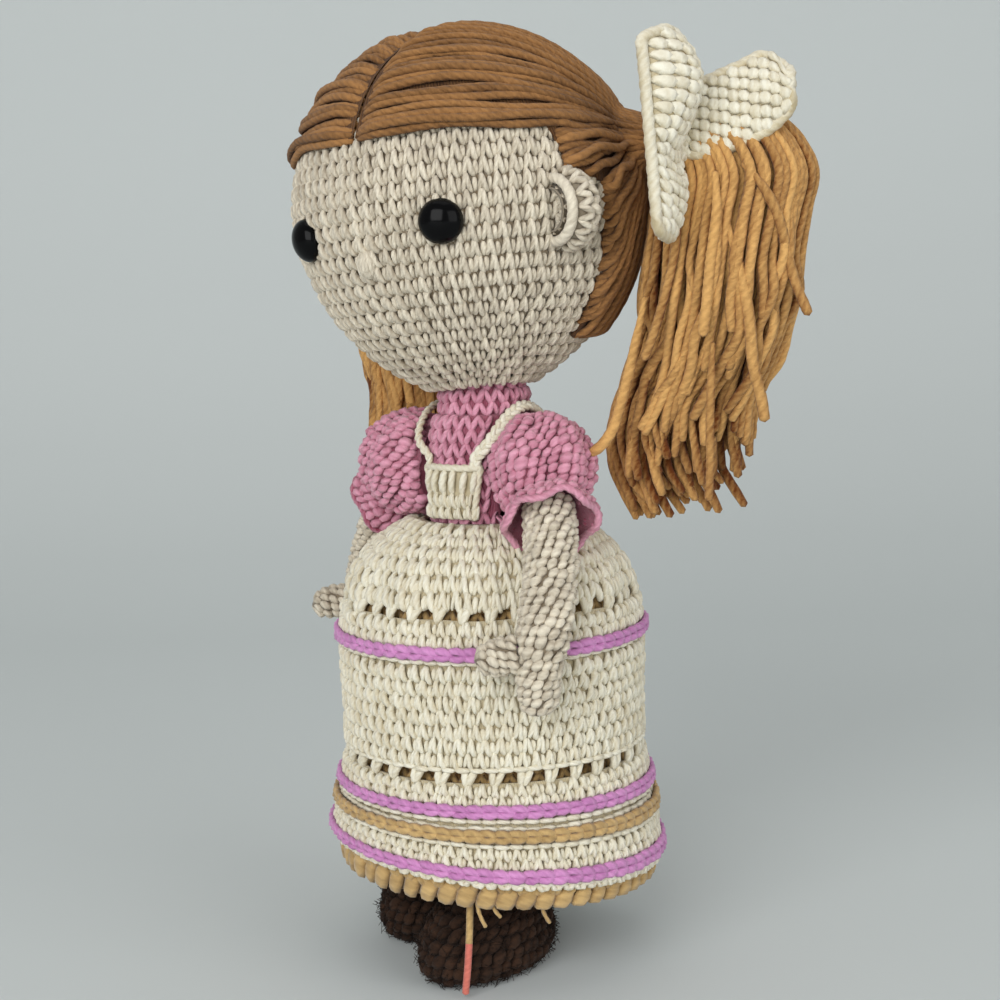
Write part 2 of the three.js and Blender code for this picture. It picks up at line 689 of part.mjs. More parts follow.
sides.forEach(([name, side]) => {
  const shoulder = new THREE.Group();
  shoulder.position.set(side * pivotOut, -pivotForward, pivotHeight);
  doll.add(shoulder);
  piece(`${name}_sleeve`, sided(sleeve, side), pink, shoulder);

  const path = armShares[name].map(([x, y, z]) => [side * x * armDrop, y * armDrop, z * armDrop]);
  const arm = limb(path, armRadii, armSteps, limbSides);
  const armGuard = limb(path, armRadii.map(([share, r]) => [share, r + touch]), armSteps, limbSides);
  piece(`${name}_arm`, cut(arm, sleeveBall), beige, shoulder);

  const curve = new THREE.CatmullRomCurve3(path.map((p) => new THREE.Vector3(...p)));
  const wrist = curve.getPointAt(thumbShare);
  const thumbPath = [0, 0.5, 1]
    .map((s) => wrist.clone().addScaledVector(thumbAim, thumbLength * s).toArray());
  const thumbRadii = [
    [0, thumbRadius], [0.7, thumbRadius], [0.9, thumbRadius * 0.75], [1, thumbRadius * 0.2],
  ];
  const thumb = limb(thumbPath, thumbRadii, [0, 0.35, 0.7, 0.82, 0.92, 1], smallSides);
  piece(`${name}_thumb`, cut(thumb, armGuard), beige, shoulder);

  const axis = curve.getPointAt(0.24).normalize();
  piece(`${name}_cuff`, cuffAlong(axis, shoulder.position, armGuard), pink, shoulder);
});

const dipAim = new THREE.Vector3(0.81, 0.58, 0).normalize();
const dipTop = middleBandHeight - (middleBandHeight - upperBandHeight) / 2;
function hang(p) {
  const radius = Math.hypot(p.x, p.y);
  const turn = Math.atan2(p.y, p.x);
  const up = THREE.MathUtils.smoothstep(p.z, middleBandHeight, skirtTop - fabric);
  const below = THREE.MathUtils.clamp((skirtHem - p.z) / (skirtHem - liningHem), 0, 1);
  const down = THREE.MathUtils.clamp((dipTop - p.z) / (dipTop - skirtHem), 0, 1) ** 2 * (1 - below / 3);
  const fold = 1 + (gatherDepth * up * (1 - up) * 4 * Math.cos(gathers * turn)) / radius;
  p.z -= (hemDip * down * p.dot(dipAim.clone().setZ(0))) / hemRadius;
  p.x *= fold;
  p.y *= fold;
}
const skirtInner = offset(skirtOutline, -fabric).slice(0, -2);
const waistHole = Math.max(bodyRadiusAt(skirtTop), bodyRadiusAt(skirtTop - fabric)) + touch
  + facetSag(chestRadius, dressSides);
const skirtWall = wall(
  [...skirtOutline, [waistHole, skirtTop]],
  [...skirtInner, [waistHole, skirtTop - fabric]].map(([r, z], i) => [r, i === 0 ? skirtHem : z]),
);
piece('skirt', weld(reshaped(turned(skirtWall, dressSides), hang)), cream, doll);

// Lining: it shows through the openwork and as the scalloped edge below the hem
const liningGap = touch + gatherDepth / 2;
const liningTop = skirtInner.filter(([, z]) => z > skirtHem + fabric);
const liningOutside = [
  [hemRadius - fabric, liningHem],
  [hemRadius - fabric - touch, skirtHem - overrun],
  ...offset(liningTop, -liningGap),
];
const liningInside = offset(liningOutside, -thinFabric)
  .map(([r, z], i, all) => [r, i === 0 ? liningHem : i === all.length - 1 ? liningOutside[i][1] : z]);
const lining = reshaped(turned(wall(liningOutside, liningInside), dressSides), (p) => {
  const atHem = Math.abs(p.z - liningHem) < touch;
  const step = Math.round((Math.atan2(p.y, p.x) * dressSides) / (2 * Math.PI));
  if (atHem && step % 2 !== 0) p.z -= scallopDepth;
  hang(p);
});
piece('lining', weld(lining), tan, doll);

// Bands: chains worked on the skirt's surface
function band(name, height, material) {
  const seat = touch + facetSag(skirtRadiusAt(height), dressSides / 2);
  const outline = [-1, -0.5, 0.5, 1].map((share) => {
    const at = height + (share * bandHeight) / 2;
    const crown = Math.abs(share) < 1 ? bandThickness : bandLift;
    return [skirtRadiusAt(at) + seat + crown, at];
  });
  const back = [-1, 1].map((share) => {
    const at = height + (share * bandHeight) / 2;
    return [skirtRadiusAt(at) + seat, at];
  });
  piece(name, weld(reshaped(turned(wall(outline, back), dressSides / 2), hang)), material, doll);
}
band('middle_band', middleBandHeight, orchid);
band('upper_band', upperBandHeight, orchid);
band('tan_band', tanBandHeight, tan);
band('lower_band', lowerBandHeight, orchid);

// Bib: a curved front panel that narrows to the waist
const bibTop = skirtTop + touch + bibHeight;
const bibGap = touch + facetSag(chestRadius, bodySides);
piece('bib', strip((u, v, depth) => {
  const height = skirtTop + touch + bibHeight * u;
  const radius = bodyRadiusAt(height) + bibGap + depth * fabric;
  const half = THREE.MathUtils.lerp(bibWaistWidth, bibTopWidth, u) / 2;
  const turn = ((2 * v - 1) * half) / (chestRadius + fabric);
  return new THREE.Vector3(radius * Math.sin(turn), -radius * Math.cos(turn), height);
}, 5, 6), cream, doll);

// Straps: cords from the bib's corners over the shoulders to the back of the waist. The places
// between are shares of the chest's radius across and forward, and of the way up to the shoulder.
const roundSection = (radius, count) => new THREE.Shape(Array.from(
  { length: count },
  (_, k) => {
    const turn = (2 * Math.PI * k) / count;
    return new THREE.Vector2(radius * Math.cos(turn), radius * Math.sin(turn));
  },
));
const strapShares = [
  [0.78, -0.95, 0.5], [0.91, -0.6, 0.92], [0.95, -0.15, 1.12],
  [0.9, 0.45, 0.95], [0.74, 0.9, 0.55], [0.56, 1.02, 0.2],
];
const strapAngle = (bibTopWidth - strapDiameter) / (2 * (chestRadius + fabric));
const strapStart = bodyRadiusAt(bibTop) + bibGap + fabric / 2;
const strapEnd = bodyRadiusAt(skirtTop) + bibGap + strapDiameter / 2;
sides.forEach(([name, side]) => {
  const ends = [[strapStart, -1, bibTop + touch], [strapEnd, 1, skirtTop + touch]]
    .map(([radius, front, height]) => new THREE.Vector3(
      side * radius * Math.sin(strapAngle),
      front * radius * Math.cos(strapAngle),
      height,
    ));
  const points = [
    ends[0],
    ends[0].clone().setZ(ends[0].z + strapDiameter),
    ...strapShares.map(([across, forward, up]) => new THREE.Vector3(
      side * across * chestRadius,
      forward * chestRadius,
      THREE.MathUtils.lerp(bibTop, shoulderHeight, up),
    )),
    ends[1].clone().setZ(ends[1].z + strapDiameter),
    ends[1],
  ];
  piece(`${name}_strap`, new THREE.ExtrudeGeometry(roundSection(strapDiameter / 2, 6), {
    steps: 24,
    bevelEnabled: false,
    extrudePath: new THREE.CatmullRomCurve3(points),
  }), cream, doll);
});

// Legs and shoes. Each shoe is placed by itself, one foot ahead of the other.
const shoeShares = [
  [0, 0.45, 0.44, 0], [0.13, 0.49, 0.5, 0], [0.4, 0.5, 0.5, 0], [0.62, 0.45, 0.48, 0.02],
  [0.8, 0.36, 0.42, 0.06], [0.93, 0.26, 0.36, 0.11], [1, 0.19, 0.3, 0.14],
];
sides.forEach(([name, side]) => {
  const { ankle, shoe } = feet[name];
  const hip = new THREE.Group();
  hip.position.set(side * hipOut, 0, hipHeight);
  doll.add(hip);
  const foot = [ankle[0] - side * hipOut, ankle[1], shoeHeight + touch - hipHeight];
  const legRadii = [[0, thighRadius], [0.25, thighRadius * 0.93], [1, ankleRadius]];
  const thigh = limb([[0, 0, 0], foot], legRadii, [0, 0.25, 0.6, 1], limbSides);
  const leg = within(join(thigh, ball(thighRadius, limbSides)), box(
    [-hipSpacing, -hipSpacing, foot[2]],
    [hipSpacing, hipSpacing, thighRadius],
  ));
  piece(`${name}_leg`, leg, beige, hip);
  const rings = shoeShares.map(([height, halfLength, halfWidth, back]) => Array.from(
    { length: hiddenSides },
    (_, k) => {
      const turn = (2 * Math.PI * k) / hiddenSides;
      return new THREE.Vector3(
        shoe[0] - side * hipOut + shoeWidth * halfWidth * Math.cos(turn),
        shoe[1] + shoeLength * (back + halfLength * Math.sin(turn)),
        THREE.MathUtils.lerp(-soleCut, shoeHeight, height) - hipHeight,
      );
    },
  ));
  piece(`${name}_shoe`, within(loft(rings), box(
    [-shoeLength, -shoeLength, -hipHeight],
    [shoeLength, shoeLength, shoeHeight - hipHeight + touch],
  )), brown, hip);
});

// Loose ends of yarn. The long one hangs free; its route is a list of places from the middle.
const tailSide = new THREE.Vector3(0.809, 0.588, 0);
const tailFront = new THREE.Vector3(0.588, -0.809, 0);
const tailPoints = [
  [-9.4, 47.9, 36.5], [-9.4, 46.3, 36.2], [-9.5, 44.9, 34.4], [-9.7, 44.2, 31.4], [-9.9, 44.6, 27.6],
  [-10.1, 45.8, 23.4], [-10.4, 47.2, 18.6], [-10.8, 48.3, 13.6], [-11.3, 49.1, 8.6], [-11.8, 49.6, 4.6],
  [-12.1, 49.9, 1.9],
];
const tailRoute = new THREE.CatmullRomCurve3(tailPoints.map(([across, front, height]) => tailSide.clone()
  .multiplyScalar(across)
  .addScaledVector(tailFront, front)
  .setZ(height)));
piece('long_tail', new THREE.ExtrudeGeometry(roundSection(tailDiameter / 2, 8), {
  steps: 12,
  bevelEnabled: false,
  extrudePath: tailRoute,
}), coral, doll);

// Stand the doll in the middle of its own box, without the free yarn end
const model = new THREE.Group();
model.add(doll);
model.updateMatrixWorld(true);
const bounds = new THREE.Box3();
doll.traverse((part) => {
  if (part.isMesh && part.name !== 'long_tail') bounds.expandByObject(part, true);
});
const middle = bounds.getCenter(new THREE.Vector3());
doll.position.set(-middle.x, -middle.y, -bounds.min.z);

export default model;
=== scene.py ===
# %% [markdown]
# # A crocheted doll, stitch by stitch
# The real doll is one long thread of yarn after another, looped with a hook. Nothing on it is
# flat: every patch of colour is rows of small plump loops. So this lesson makes one good loop,
# lays it in rows on each form of the doll, and only then thinks about colour and light.

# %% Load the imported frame
import json
import math

import bpy
import numpy as np
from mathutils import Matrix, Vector


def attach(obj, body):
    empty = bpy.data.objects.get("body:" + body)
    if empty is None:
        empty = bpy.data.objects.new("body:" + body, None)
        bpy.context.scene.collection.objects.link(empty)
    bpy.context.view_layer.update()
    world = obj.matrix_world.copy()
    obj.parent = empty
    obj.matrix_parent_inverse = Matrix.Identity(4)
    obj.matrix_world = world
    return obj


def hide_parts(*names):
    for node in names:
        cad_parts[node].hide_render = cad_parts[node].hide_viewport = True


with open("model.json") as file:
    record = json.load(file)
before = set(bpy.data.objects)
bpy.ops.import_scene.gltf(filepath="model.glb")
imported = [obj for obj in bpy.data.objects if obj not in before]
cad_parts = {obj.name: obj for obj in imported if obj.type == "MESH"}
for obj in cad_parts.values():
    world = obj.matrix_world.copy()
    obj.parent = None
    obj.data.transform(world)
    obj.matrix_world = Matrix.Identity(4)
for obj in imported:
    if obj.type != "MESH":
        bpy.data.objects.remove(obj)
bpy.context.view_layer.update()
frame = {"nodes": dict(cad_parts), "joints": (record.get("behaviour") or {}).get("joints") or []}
joints = {joint["name"]: joint for joint in frame["joints"]}

# %% [markdown]
# ## Measures
# The solids were drawn in millimetres round the doll's own upright axis, so the same numbers
# are the easiest to think in here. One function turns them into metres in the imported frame.
# The neck's joint stands on that axis, which gives the place of the axis without a copy of it.

# %% From the doll's millimetres to the frame's metres
MM = 0.001
AXIS = np.array([*joints["neck_turn"]["pos_m"][:2], 0.0])


def to_frame(points):
    return np.asarray(points, float) * MM + AXIS


def unit(vectors):
    return vectors / np.maximum(np.linalg.norm(vectors, axis=-1, keepdims=True), 1e-9)


print("the doll's axis stands at", np.round(AXIS, 4))

# %% [markdown]
# ## The camera
# A long lens looks at the doll from its left front, a little above its waist. The picture was
# taken by hand, so the camera also rolls by a degree or two.

# %% Camera
LENS = 66.6
VIEW_ANGLE = math.radians(36)
VIEW_DISTANCE = 617
VIEW_HEIGHT = 232
VIEW_DOWN = math.radians(7.2)
VIEW_ROLL = math.radians(1.8)
VIEW_TURN = math.radians(-0.62)

towards = np.array([math.sin(VIEW_ANGLE), -math.cos(VIEW_ANGLE), 0.0])
aside = np.array([math.cos(VIEW_ANGLE), math.sin(VIEW_ANGLE), 0.0])
camera = bpy.data.objects.new("camera", bpy.data.cameras.new("camera"))
bpy.context.scene.collection.objects.link(camera)
camera.data.lens = LENS
camera.data.clip_start, camera.data.clip_end = 0.01, 20
camera.location = to_frame(towards * VIEW_DISTANCE + [0, 0, VIEW_HEIGHT])
camera.rotation_euler = (math.pi / 2 - VIEW_DOWN, VIEW_ROLL, VIEW_ANGLE + VIEW_TURN)
bpy.context.scene.camera = camera
print("the camera stands at", np.round(camera.location, 3))

# %% [markdown]
# ## Smooth lines
# Yarn never has a corner, so every path here is a smooth line through a few places. The same
# kind of line (a centripetal Catmull-Rom spline) was used for the solids, so both agree.


# %% A smooth line through places, as evenly spaced points
def line_through(places, count):
    p = np.asarray(places, float)
    p = np.vstack([2 * p[0] - p[1], p, 2 * p[-1] - p[-2]])
    gap = np.sqrt(np.maximum(np.linalg.norm(np.diff(p, axis=0), axis=1), 1e-6))
    fine = []
    for i in range(1, len(p) - 2):
        a, b, c = gap[i - 1], gap[i], gap[i + 1]
        leave = ((p[i] - p[i - 1]) / a - (p[i + 1] - p[i - 1]) / (a + b)) * b + (p[i + 1] - p[i])
        reach = ((p[i + 2] - p[i + 1]) / c - (p[i + 2] - p[i]) / (b + c)) * b + (p[i + 1] - p[i])
        s = np.linspace(0, 1, 24, endpoint=False)[:, None]
        fine.append((2 * s**3 - 3 * s**2 + 1) * p[i] + (s**3 - 2 * s**2 + s) * leave
                    + (3 * s**2 - 2 * s**3) * p[i + 1] + (s**3 - s**2) * reach)
    fine = np.vstack([*fine, p[-2:-1]])
    along = np.concatenate([[0], np.cumsum(np.linalg.norm(np.diff(fine, axis=0), axis=1))])
    at = np.linspace(0, along[-1], count)
    return np.stack([np.interp(at, along, fine[:, k]) for k in range(3)], axis=1)


def smooth_at(pairs, share):
    """The smooth curve through pairs of share and value."""
    x, y = np.array(pairs, float).T
    share = np.asarray(share, float)
    k = np.arange(len(x))
    low, high = np.maximum(k - 1, 0), np.minimum(k + 1, len(x) - 1)
    slope = (y[high] - y[low]) / (x[high] - x[low])
    i = np.clip(np.searchsorted(x, share), 1, len(x) - 1)
    span = x[i] - x[i - 1]
    s = np.clip((share - x[i - 1]) / span, 0, 1)
    return ((2 * s**3 - 3 * s**2 + 1) * y[i - 1] + (s**3 - 2 * s**2 + s) * span * slope[i - 1]
            + (3 * s**2 - 2 * s**3) * y[i] + (s**3 - s**2) * span * slope[i])


print("a curve from 0 to 1 is at", float(smooth_at([(0, 0), (1, 1)], 0.25)), "after a quarter")

# %% [markdown]
# ## A mesh that grows
# A knitted piece has thousands of loops. Making each as an object would be slow to build and
# slow to render, so a Fabric collects rods of yarn as plain arrays and becomes one mesh at the
# end. Each point also keeps two numbers for the material. The first is `deep`, which is 0 at the
# bottom of a loop and 1 on its crown, and which paints shade low down and light on top. The
# second is `shade`, one small random number for each length of yarn.


# %% Fabric: rods of yarn and sheets, collected into one mesh
class Fabric:
    def __init__(self, seed):
        self.random = np.random.default_rng(seed)
        self.points, self.faces, self.uvs, self.deep, self.shade = [], [], [], [], []
        self.count = 0

    def add(self, points, faces, uv, deep, shade):
        self.points.append(points.reshape(-1, 3))
        self.deep.append(np.broadcast_to(deep, points.shape[:-1]).ravel())
        self.shade.append(np.broadcast_to(shade, points.shape[:-1]).ravel())
        for corners, places in zip(faces, uv):
            self.faces.append(corners + self.count)
            self.uvs.append(places)
        self.count += points.size // 3

    def rods(self, paths, wide, thick, up, sides=8, place=None, start=0.0, plies=0, lay=5.0,
             ridge=0.13):
        """Closed round-ended rods along paths (n, rings, 3), flattened against up. With plies, the
        rod isn't round: each ply stands out and winds along it once in every lay millimetres."""
        n, rings = paths.shape[:2]
        wide, thick = np.broadcast_to(wide, (n, rings)), np.broadcast_to(thick, (n, rings))
        along = unit(np.gradient(paths, axis=1))
        across = unit(np.cross(along, np.broadcast_to(up, paths.shape)))
        rise = np.cross(across, along)
        turn = 2 * np.pi * np.arange(sides) / sides
        way = np.linalg.norm(np.diff(paths, axis=1), axis=2)
        way = np.concatenate([np.zeros((n, 1)), np.cumsum(way, axis=1)], axis=1) + start
        stand = 1 + ridge * np.sin(plies * turn + 2 * np.pi * way[..., None] / lay) * (plies > 0)
        over, out = wide[..., None] * stand * np.cos(turn), thick[..., None] * stand * np.sin(turn)
        body = (paths[:, :, None] + across[:, :, None] * over[..., None]
                + rise[:, :, None] * out[..., None])
        tips = np.stack([paths[:, 0] - along[:, 0] * wide[:, :1] * 0.6,
                         paths[:, -1] + along[:, -1] * wide[:, -1:] * 0.6], axis=1)
        points = np.concatenate([body.reshape(n, -1, 3), tips], axis=1)
        if place is not None:
            points = place(points)
        k, r = np.meshgrid(np.arange(sides), np.arange(rings - 1))
        k, r, k2 = k.ravel(), r.ravel(), (k.ravel() + 1) % sides
        quads = np.stack([r * sides + k, (r + 1) * sides + k, (r + 1) * sides + k2,
                          r * sides + k2], 1)
        j = np.arange(sides)
        j2, last = (j + 1) % sides, (rings - 1) * sides
        tris = np.concatenate([np.stack([np.full(sides, rings * sides), j, j2], 1),
                               np.stack([np.full(sides, rings * sides + 1), last + j2, last + j], 1)])
        base = (np.arange(n) * (rings * sides + 2))[:, None, None]
        round_it = np.stack([k, k, k + 1, k + 1], 1) / sides
        quad_uv = np.stack([np.broadcast_to(round_it, (n, *round_it.shape)),
                            np.stack([way[:, r], way[:, r + 1], way[:, r + 1], way[:, r]], 2)], 3)
        half = np.stack([(j + 0.5) / sides, j / sides, (j + 1) / sides], 1)
        fans = np.concatenate([half, half[:, [0, 2, 1]]])
        tri_uv = np.stack([np.broadcast_to(fans, (n, 2 * sides, 3)),
                           np.repeat(way[:, [0, -1]], sides, axis=1)[..., None].repeat(3, 2)], 3)
        # Painted light and shade: each ring is lightest on its upper side and darkest underneath, and
        # the tips sit in between.
        crown = np.broadcast_to(0.5 + 0.5 * np.sin(turn), (rings, sides)).ravel()
        self.add(points, [(quads[None] + base).reshape(-1, 4), (tris[None] + base).reshape(-1, 3)],
                 [quad_uv.reshape(-1, 4, 2), tri_uv.reshape(-1, 3, 2)],
                 np.concatenate([crown, [0.3, 0.3]]), self.random.uniform(-1, 1, (n, 1)))

    def sheet(self, points, deep=0.0, closed=True, back=True, ends=False):
        """A grid of points (rows, columns, 3), closed round the columns and the rows if asked, or
        with a flat face over each open end."""
        rows, columns = points.shape[:2]
        r, c = np.meshgrid(np.arange(rows - (not back)), np.arange(columns - (not closed)),
                           indexing="ij")
        r, c = r.ravel(), c.ravel()
        r2, c2 = (r + 1) % rows, (c + 1) % columns
        quads = np.stack([r * columns + c, r * columns + c2, r2 * columns + c2, r2 * columns + c], 1)
        places = np.stack([np.stack([c, c + 1, c + 1, c], 1), np.stack([r, r, r + 1, r + 1], 1)], 2)
        first, last = np.arange(columns)[None, ::-1], (rows - 1) * columns + np.arange(columns)[None]
        caps, flat = ([first, last], [np.zeros((1, columns, 2))] * 2) if ends else ([], [])
        # A sheet's deep, 0 unless given, sets its colour near the yarn's darkest tone. Where the
        # sheet lies under stitches, this is painted shade.
        self.add(points, [quads, *caps], [places.astype(float), *flat], deep, 0.0)

    def slab(self, front, rear, deep=0.0):
        """A closed sheet between two grids of the same size, the front one facing out."""
        self.sheet(np.concatenate([front, rear[:, ::-1]], axis=1), deep, back=False, ends=True)

    def piece(self, name, body, finish, slot, *nodes):
        """The collected mesh as an object that rides on a body and stands for CAD nodes."""
        mesh = bpy.data.meshes.new(name)
        points = to_frame(np.concatenate(self.points)).astype(np.float32)
        sizes = np.concatenate([np.full(len(f), f.shape[1]) for f in self.faces])
        corners = np.concatenate([f.ravel() for f in self.faces])
        mesh.vertices.add(len(points))
        mesh.vertices.foreach_set("co", points.ravel())
        mesh.loops.add(len(corners))
        mesh.loops.foreach_set("vertex_index", corners.astype(np.int32))
        mesh.polygons.add(len(sizes))
        mesh.polygons.foreach_set("loop_start", (np.cumsum(sizes) - sizes).astype(np.int32))
        mesh.polygons.foreach_set("use_smooth", np.ones(len(sizes), bool))
        mesh.update(calc_edges=True)
        uv = np.concatenate([u.reshape(-1, 2) for u in self.uvs]).astype(np.float32)
        mesh.uv_layers.new(name="yarn").data.foreach_set("uv", uv.ravel())
        for word, values in (("deep", self.deep), ("shade", self.shade)):
            layer = mesh.attributes.new(word, "FLOAT", "POINT")
            layer.data.foreach_set("value", np.concatenate(values).astype(np.float32))
        mesh.materials.append(finish)
        made = bpy.data.objects.new(name, mesh)
        bpy.context.scene.collection.objects.link(made)
        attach(made, body)
        if nodes:
            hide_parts(*nodes)
        print(name, "has", len(sizes), "faces")
        return made


# %% [markdown]
# ## Yarn as a finish
# Yarn is two or more plies twisted together, with a haze of fine fibres. The UV of each rod runs
# once round the yarn and in millimetres along it, so a sine of both gives slanting plies, and
# noise stretched along them gives fibres. The colour has painted shade down between the loops
# and in the grooves between plies, and painted light on the crowns. It also varies a little from
# one length to the next.


# %% Colours and the yarn material
def colour(red, green, blue):
    """A colour as seen on a screen, 0 to 255, as the renderer's linear values."""
    channels = np.array([red, green, blue]) / 255
    linear = np.where(channels > 0.04045, ((channels + 0.055) / 1.055) ** 2.4, channels / 12.92)
    return (*linear.tolist(), 1.0)


# Painted light and shade in every yarn. The gap tone is the darkest colour, down between loops and on
# the sheets under them. The crown tone lightens the tops of loops. The ply tone darkens the grooves
# between plies and lightens their crests.
SHADED_GAP_TONE, LIT_CROWN_TONE, PLY_SHADE_TONE, FIBRE_TONE = 0.16, 0.62, 0.09, 0.7
YARN_BUMP = 0.0005


def yarn_finish(name, light, dark, plies=3, lay=3.0, mottle=0.16, relief=0.5, sheen=0.25):
    """A yarn of a light and a dark colour, wound once in every lay millimetres."""
    mat = bpy.data.materials.new(name)
    mat.use_nodes = True
    nodes, links = mat.node_tree.nodes, mat.node_tree.links
    shader = nodes["Principled BSDF"]
    shader.inputs["Roughness"].default_value = 0.9
    shader.inputs["Specular IOR Level"].default_value = 0.2
    shader.inputs["Sheen Weight"].default_value = sheen
    shader.inputs["Sheen Roughness"].default_value = 0.6

    def math_node(kind, *values):
        node = nodes.new("ShaderNodeMath")
        node.operation = kind
        for socket, value in zip(node.inputs, values):
            if isinstance(value, (int, float)):
                socket.default_value = value
            else:
                links.new(value, socket)
        return node.outputs[0]

    def noise(scale, detail, along=None):
        node = nodes.new("ShaderNodeTexNoise")
        node.inputs["Scale"].default_value = scale
        node.inputs["Detail"].default_value = detail
        links.new(along or where.outputs["Object"], node.inputs["Vector"])
        return node.outputs["Fac"]

    def attribute(word):
        node = nodes.new("ShaderNodeAttribute")
        node.attribute_name = word
        return node.outputs["Fac"]

    where = nodes.new("ShaderNodeTexCoord")
    apart = nodes.new("ShaderNodeSeparateXYZ")
    links.new(where.outputs["UV"], apart.inputs[0])
    turns = math_node("MULTIPLY_ADD", apart.outputs[0], float(plies), math_node(
        "MULTIPLY", apart.outputs[1], 1 / lay))
    ply = math_node("SINE", math_node("MULTIPLY", turns, 2 * math.pi))
    streak = nodes.new("ShaderNodeCombineXYZ")
    links.new(math_node("MULTIPLY", turns, 3.0), streak.inputs[0])
    links.new(math_node("MULTIPLY", apart.outputs[1], 0.9), streak.inputs[1])
    links.new(math_node("MULTIPLY", attribute("shade"), 9.0), streak.inputs[2])
    fibre, cloud, fluff = noise(1.0, 4, streak.outputs[0]), noise(140, 2), noise(2600, 2)
    # Painted light and shade: the tone is lighter on the crowns of loops and darker, towards the dark
    # colour, in the gaps between them and in the grooves between plies. Fibres and mottle vary it at
    # random.
    tone = math_node("MULTIPLY_ADD", attribute("deep"), LIT_CROWN_TONE, SHADED_GAP_TONE)
    tone = math_node("MULTIPLY_ADD", ply, PLY_SHADE_TONE, tone)
    tone = math_node("MULTIPLY_ADD", attribute("shade"), mottle, tone)
    tone = math_node("MULTIPLY_ADD", math_node("SUBTRACT", fibre, 0.5), FIBRE_TONE, tone)
    tone = math_node("MULTIPLY_ADD", math_node("SUBTRACT", cloud, 0.5), mottle * 2, tone)
    mix = nodes.new("ShaderNodeMix")
    mix.data_type = "RGBA"
    mix.inputs["A"].default_value, mix.inputs["B"].default_value = dark, light
    links.new(tone, mix.inputs["Factor"])
    links.new(mix.outputs["Result"], shader.inputs["Base Color"])
    bump = nodes.new("ShaderNodeBump")
    bump.inputs["Strength"].default_value = relief
    bump.inputs["Distance"].default_value = YARN_BUMP
    height = math_node("MULTIPLY_ADD", fluff, 0.4, math_node("MULTIPLY", ply, 0.18))
    links.new(math_node("MULTIPLY_ADD", fibre, 0.9, height), bump.inputs["Height"])
    links.new(bump.outputs[0], shader.inputs["Normal"])
    return mat


BEIGE = yarn_finish("beige_yarn", colour(238, 228, 207), colour(118, 99, 72), relief=0.7)
HONEY = yarn_finish("honey_yarn", colour(224, 174, 106), colour(104, 52, 10), lay=3.6,
                    mottle=0.25, relief=0.9, sheen=0.08)
# The head's hair is the honey yarn made darker. It is partly a darker tone of the yarn and partly
# painted shade over the whole head.
DARKER_SHADED_HONEY = yarn_finish("darker_shaded_honey_yarn", colour(168, 121, 72), colour(60, 32, 10), lay=3.6,
                    mottle=0.24, relief=0.9, sheen=0.08)
CREAM = yarn_finish("cream_yarn", colour(246, 242, 224), colour(196, 180, 142), relief=0.7)
PINK = yarn_finish("pink_yarn", colour(234, 168, 190), colour(146, 58, 82), relief=0.8)
ORCHID = yarn_finish("orchid_yarn", colour(222, 152, 208), colour(150, 78, 138))
TAN = yarn_finish("tan_yarn", colour(210, 176, 118), colour(112, 80, 40), plies=2, lay=4)
BROWN = yarn_finish("brown_yarn", colour(64, 43, 30), colour(18, 9, 5), mottle=0.3, relief=0.8,
                    sheen=0.03)
CORAL = yarn_finish("coral_yarn", colour(220, 122, 106), colour(130, 54, 46), plies=2, lay=2.4)
print("yarns:", ", ".join(m.name for m in bpy.data.materials if m.name.endswith("yarn")))

# %% [markdown]
# ## The free yarn end
# One end of the tan and coral yarn was never woven in. It leaves the lower edge of the dress
# beside the left foot and hangs nearly to the floor. It is the one free cord of the doll, so it
# comes first: a limp cord, cut bare, about four centimetres long, on the route of its solid.

# %% The long tail
TAIL_RADIUS = 1.15
TAIL_PLACES = [  # aside, in front and up, as the camera sees them
    (-9.4, 47.9, 36.5), (-9.4, 46.3, 36.2), (-9.5, 44.9, 34.4), (-9.7, 44.2, 31.4),
    (-9.9, 44.6, 27.6), (-10.1, 45.8, 23.4), (-10.4, 47.2, 18.6), (-10.8, 48.3, 13.6),
    (-11.3, 49.1, 8.6), (-11.8, 49.6, 4.6), (-12.1, 49.9, 1.9),
]
tail_aside, tail_front = np.array([0.809, 0.588, 0]), np.array([0.588, -0.809, 0])
tail_line = line_through([a * tail_aside + f * tail_front + [0, 0, z]
                          for a, f, z in TAIL_PLACES], 60)
TAN_POINTS = 34  # of the line's sixty points; from there on the yarn is coral
tail = Fabric(1)
tail.rods(tail_line[None, :TAN_POINTS + 1], TAIL_RADIUS, TAIL_RADIUS, tail_front, sides=12)
tan_faces = sum(len(faces) for faces in tail.faces)
tail.rods(tail_line[None, TAN_POINTS:], TAIL_RADIUS, TAIL_RADIUS, tail_front, sides=12)
tail = tail.piece("long_tail_yarn", "torso", TAN, "tan", "long_tail")
tail.data.materials.append(CORAL)
finishes = (np.arange(len(tail.data.polygons)) >= tan_faces).astype(np.int32)
tail.data.polygons.foreach_set("material_index", finishes)

# %% [markdown]
# ## Forms to crochet on
# A crocheted piece is a flat fabric that closes round a form. So each form is given as a rule:
# an angle round it, a way along it in millimetres and a lift off it go in, and a point comes
# out. A stitch can then be drawn once, flat, and the rule carries it to any place on any form.


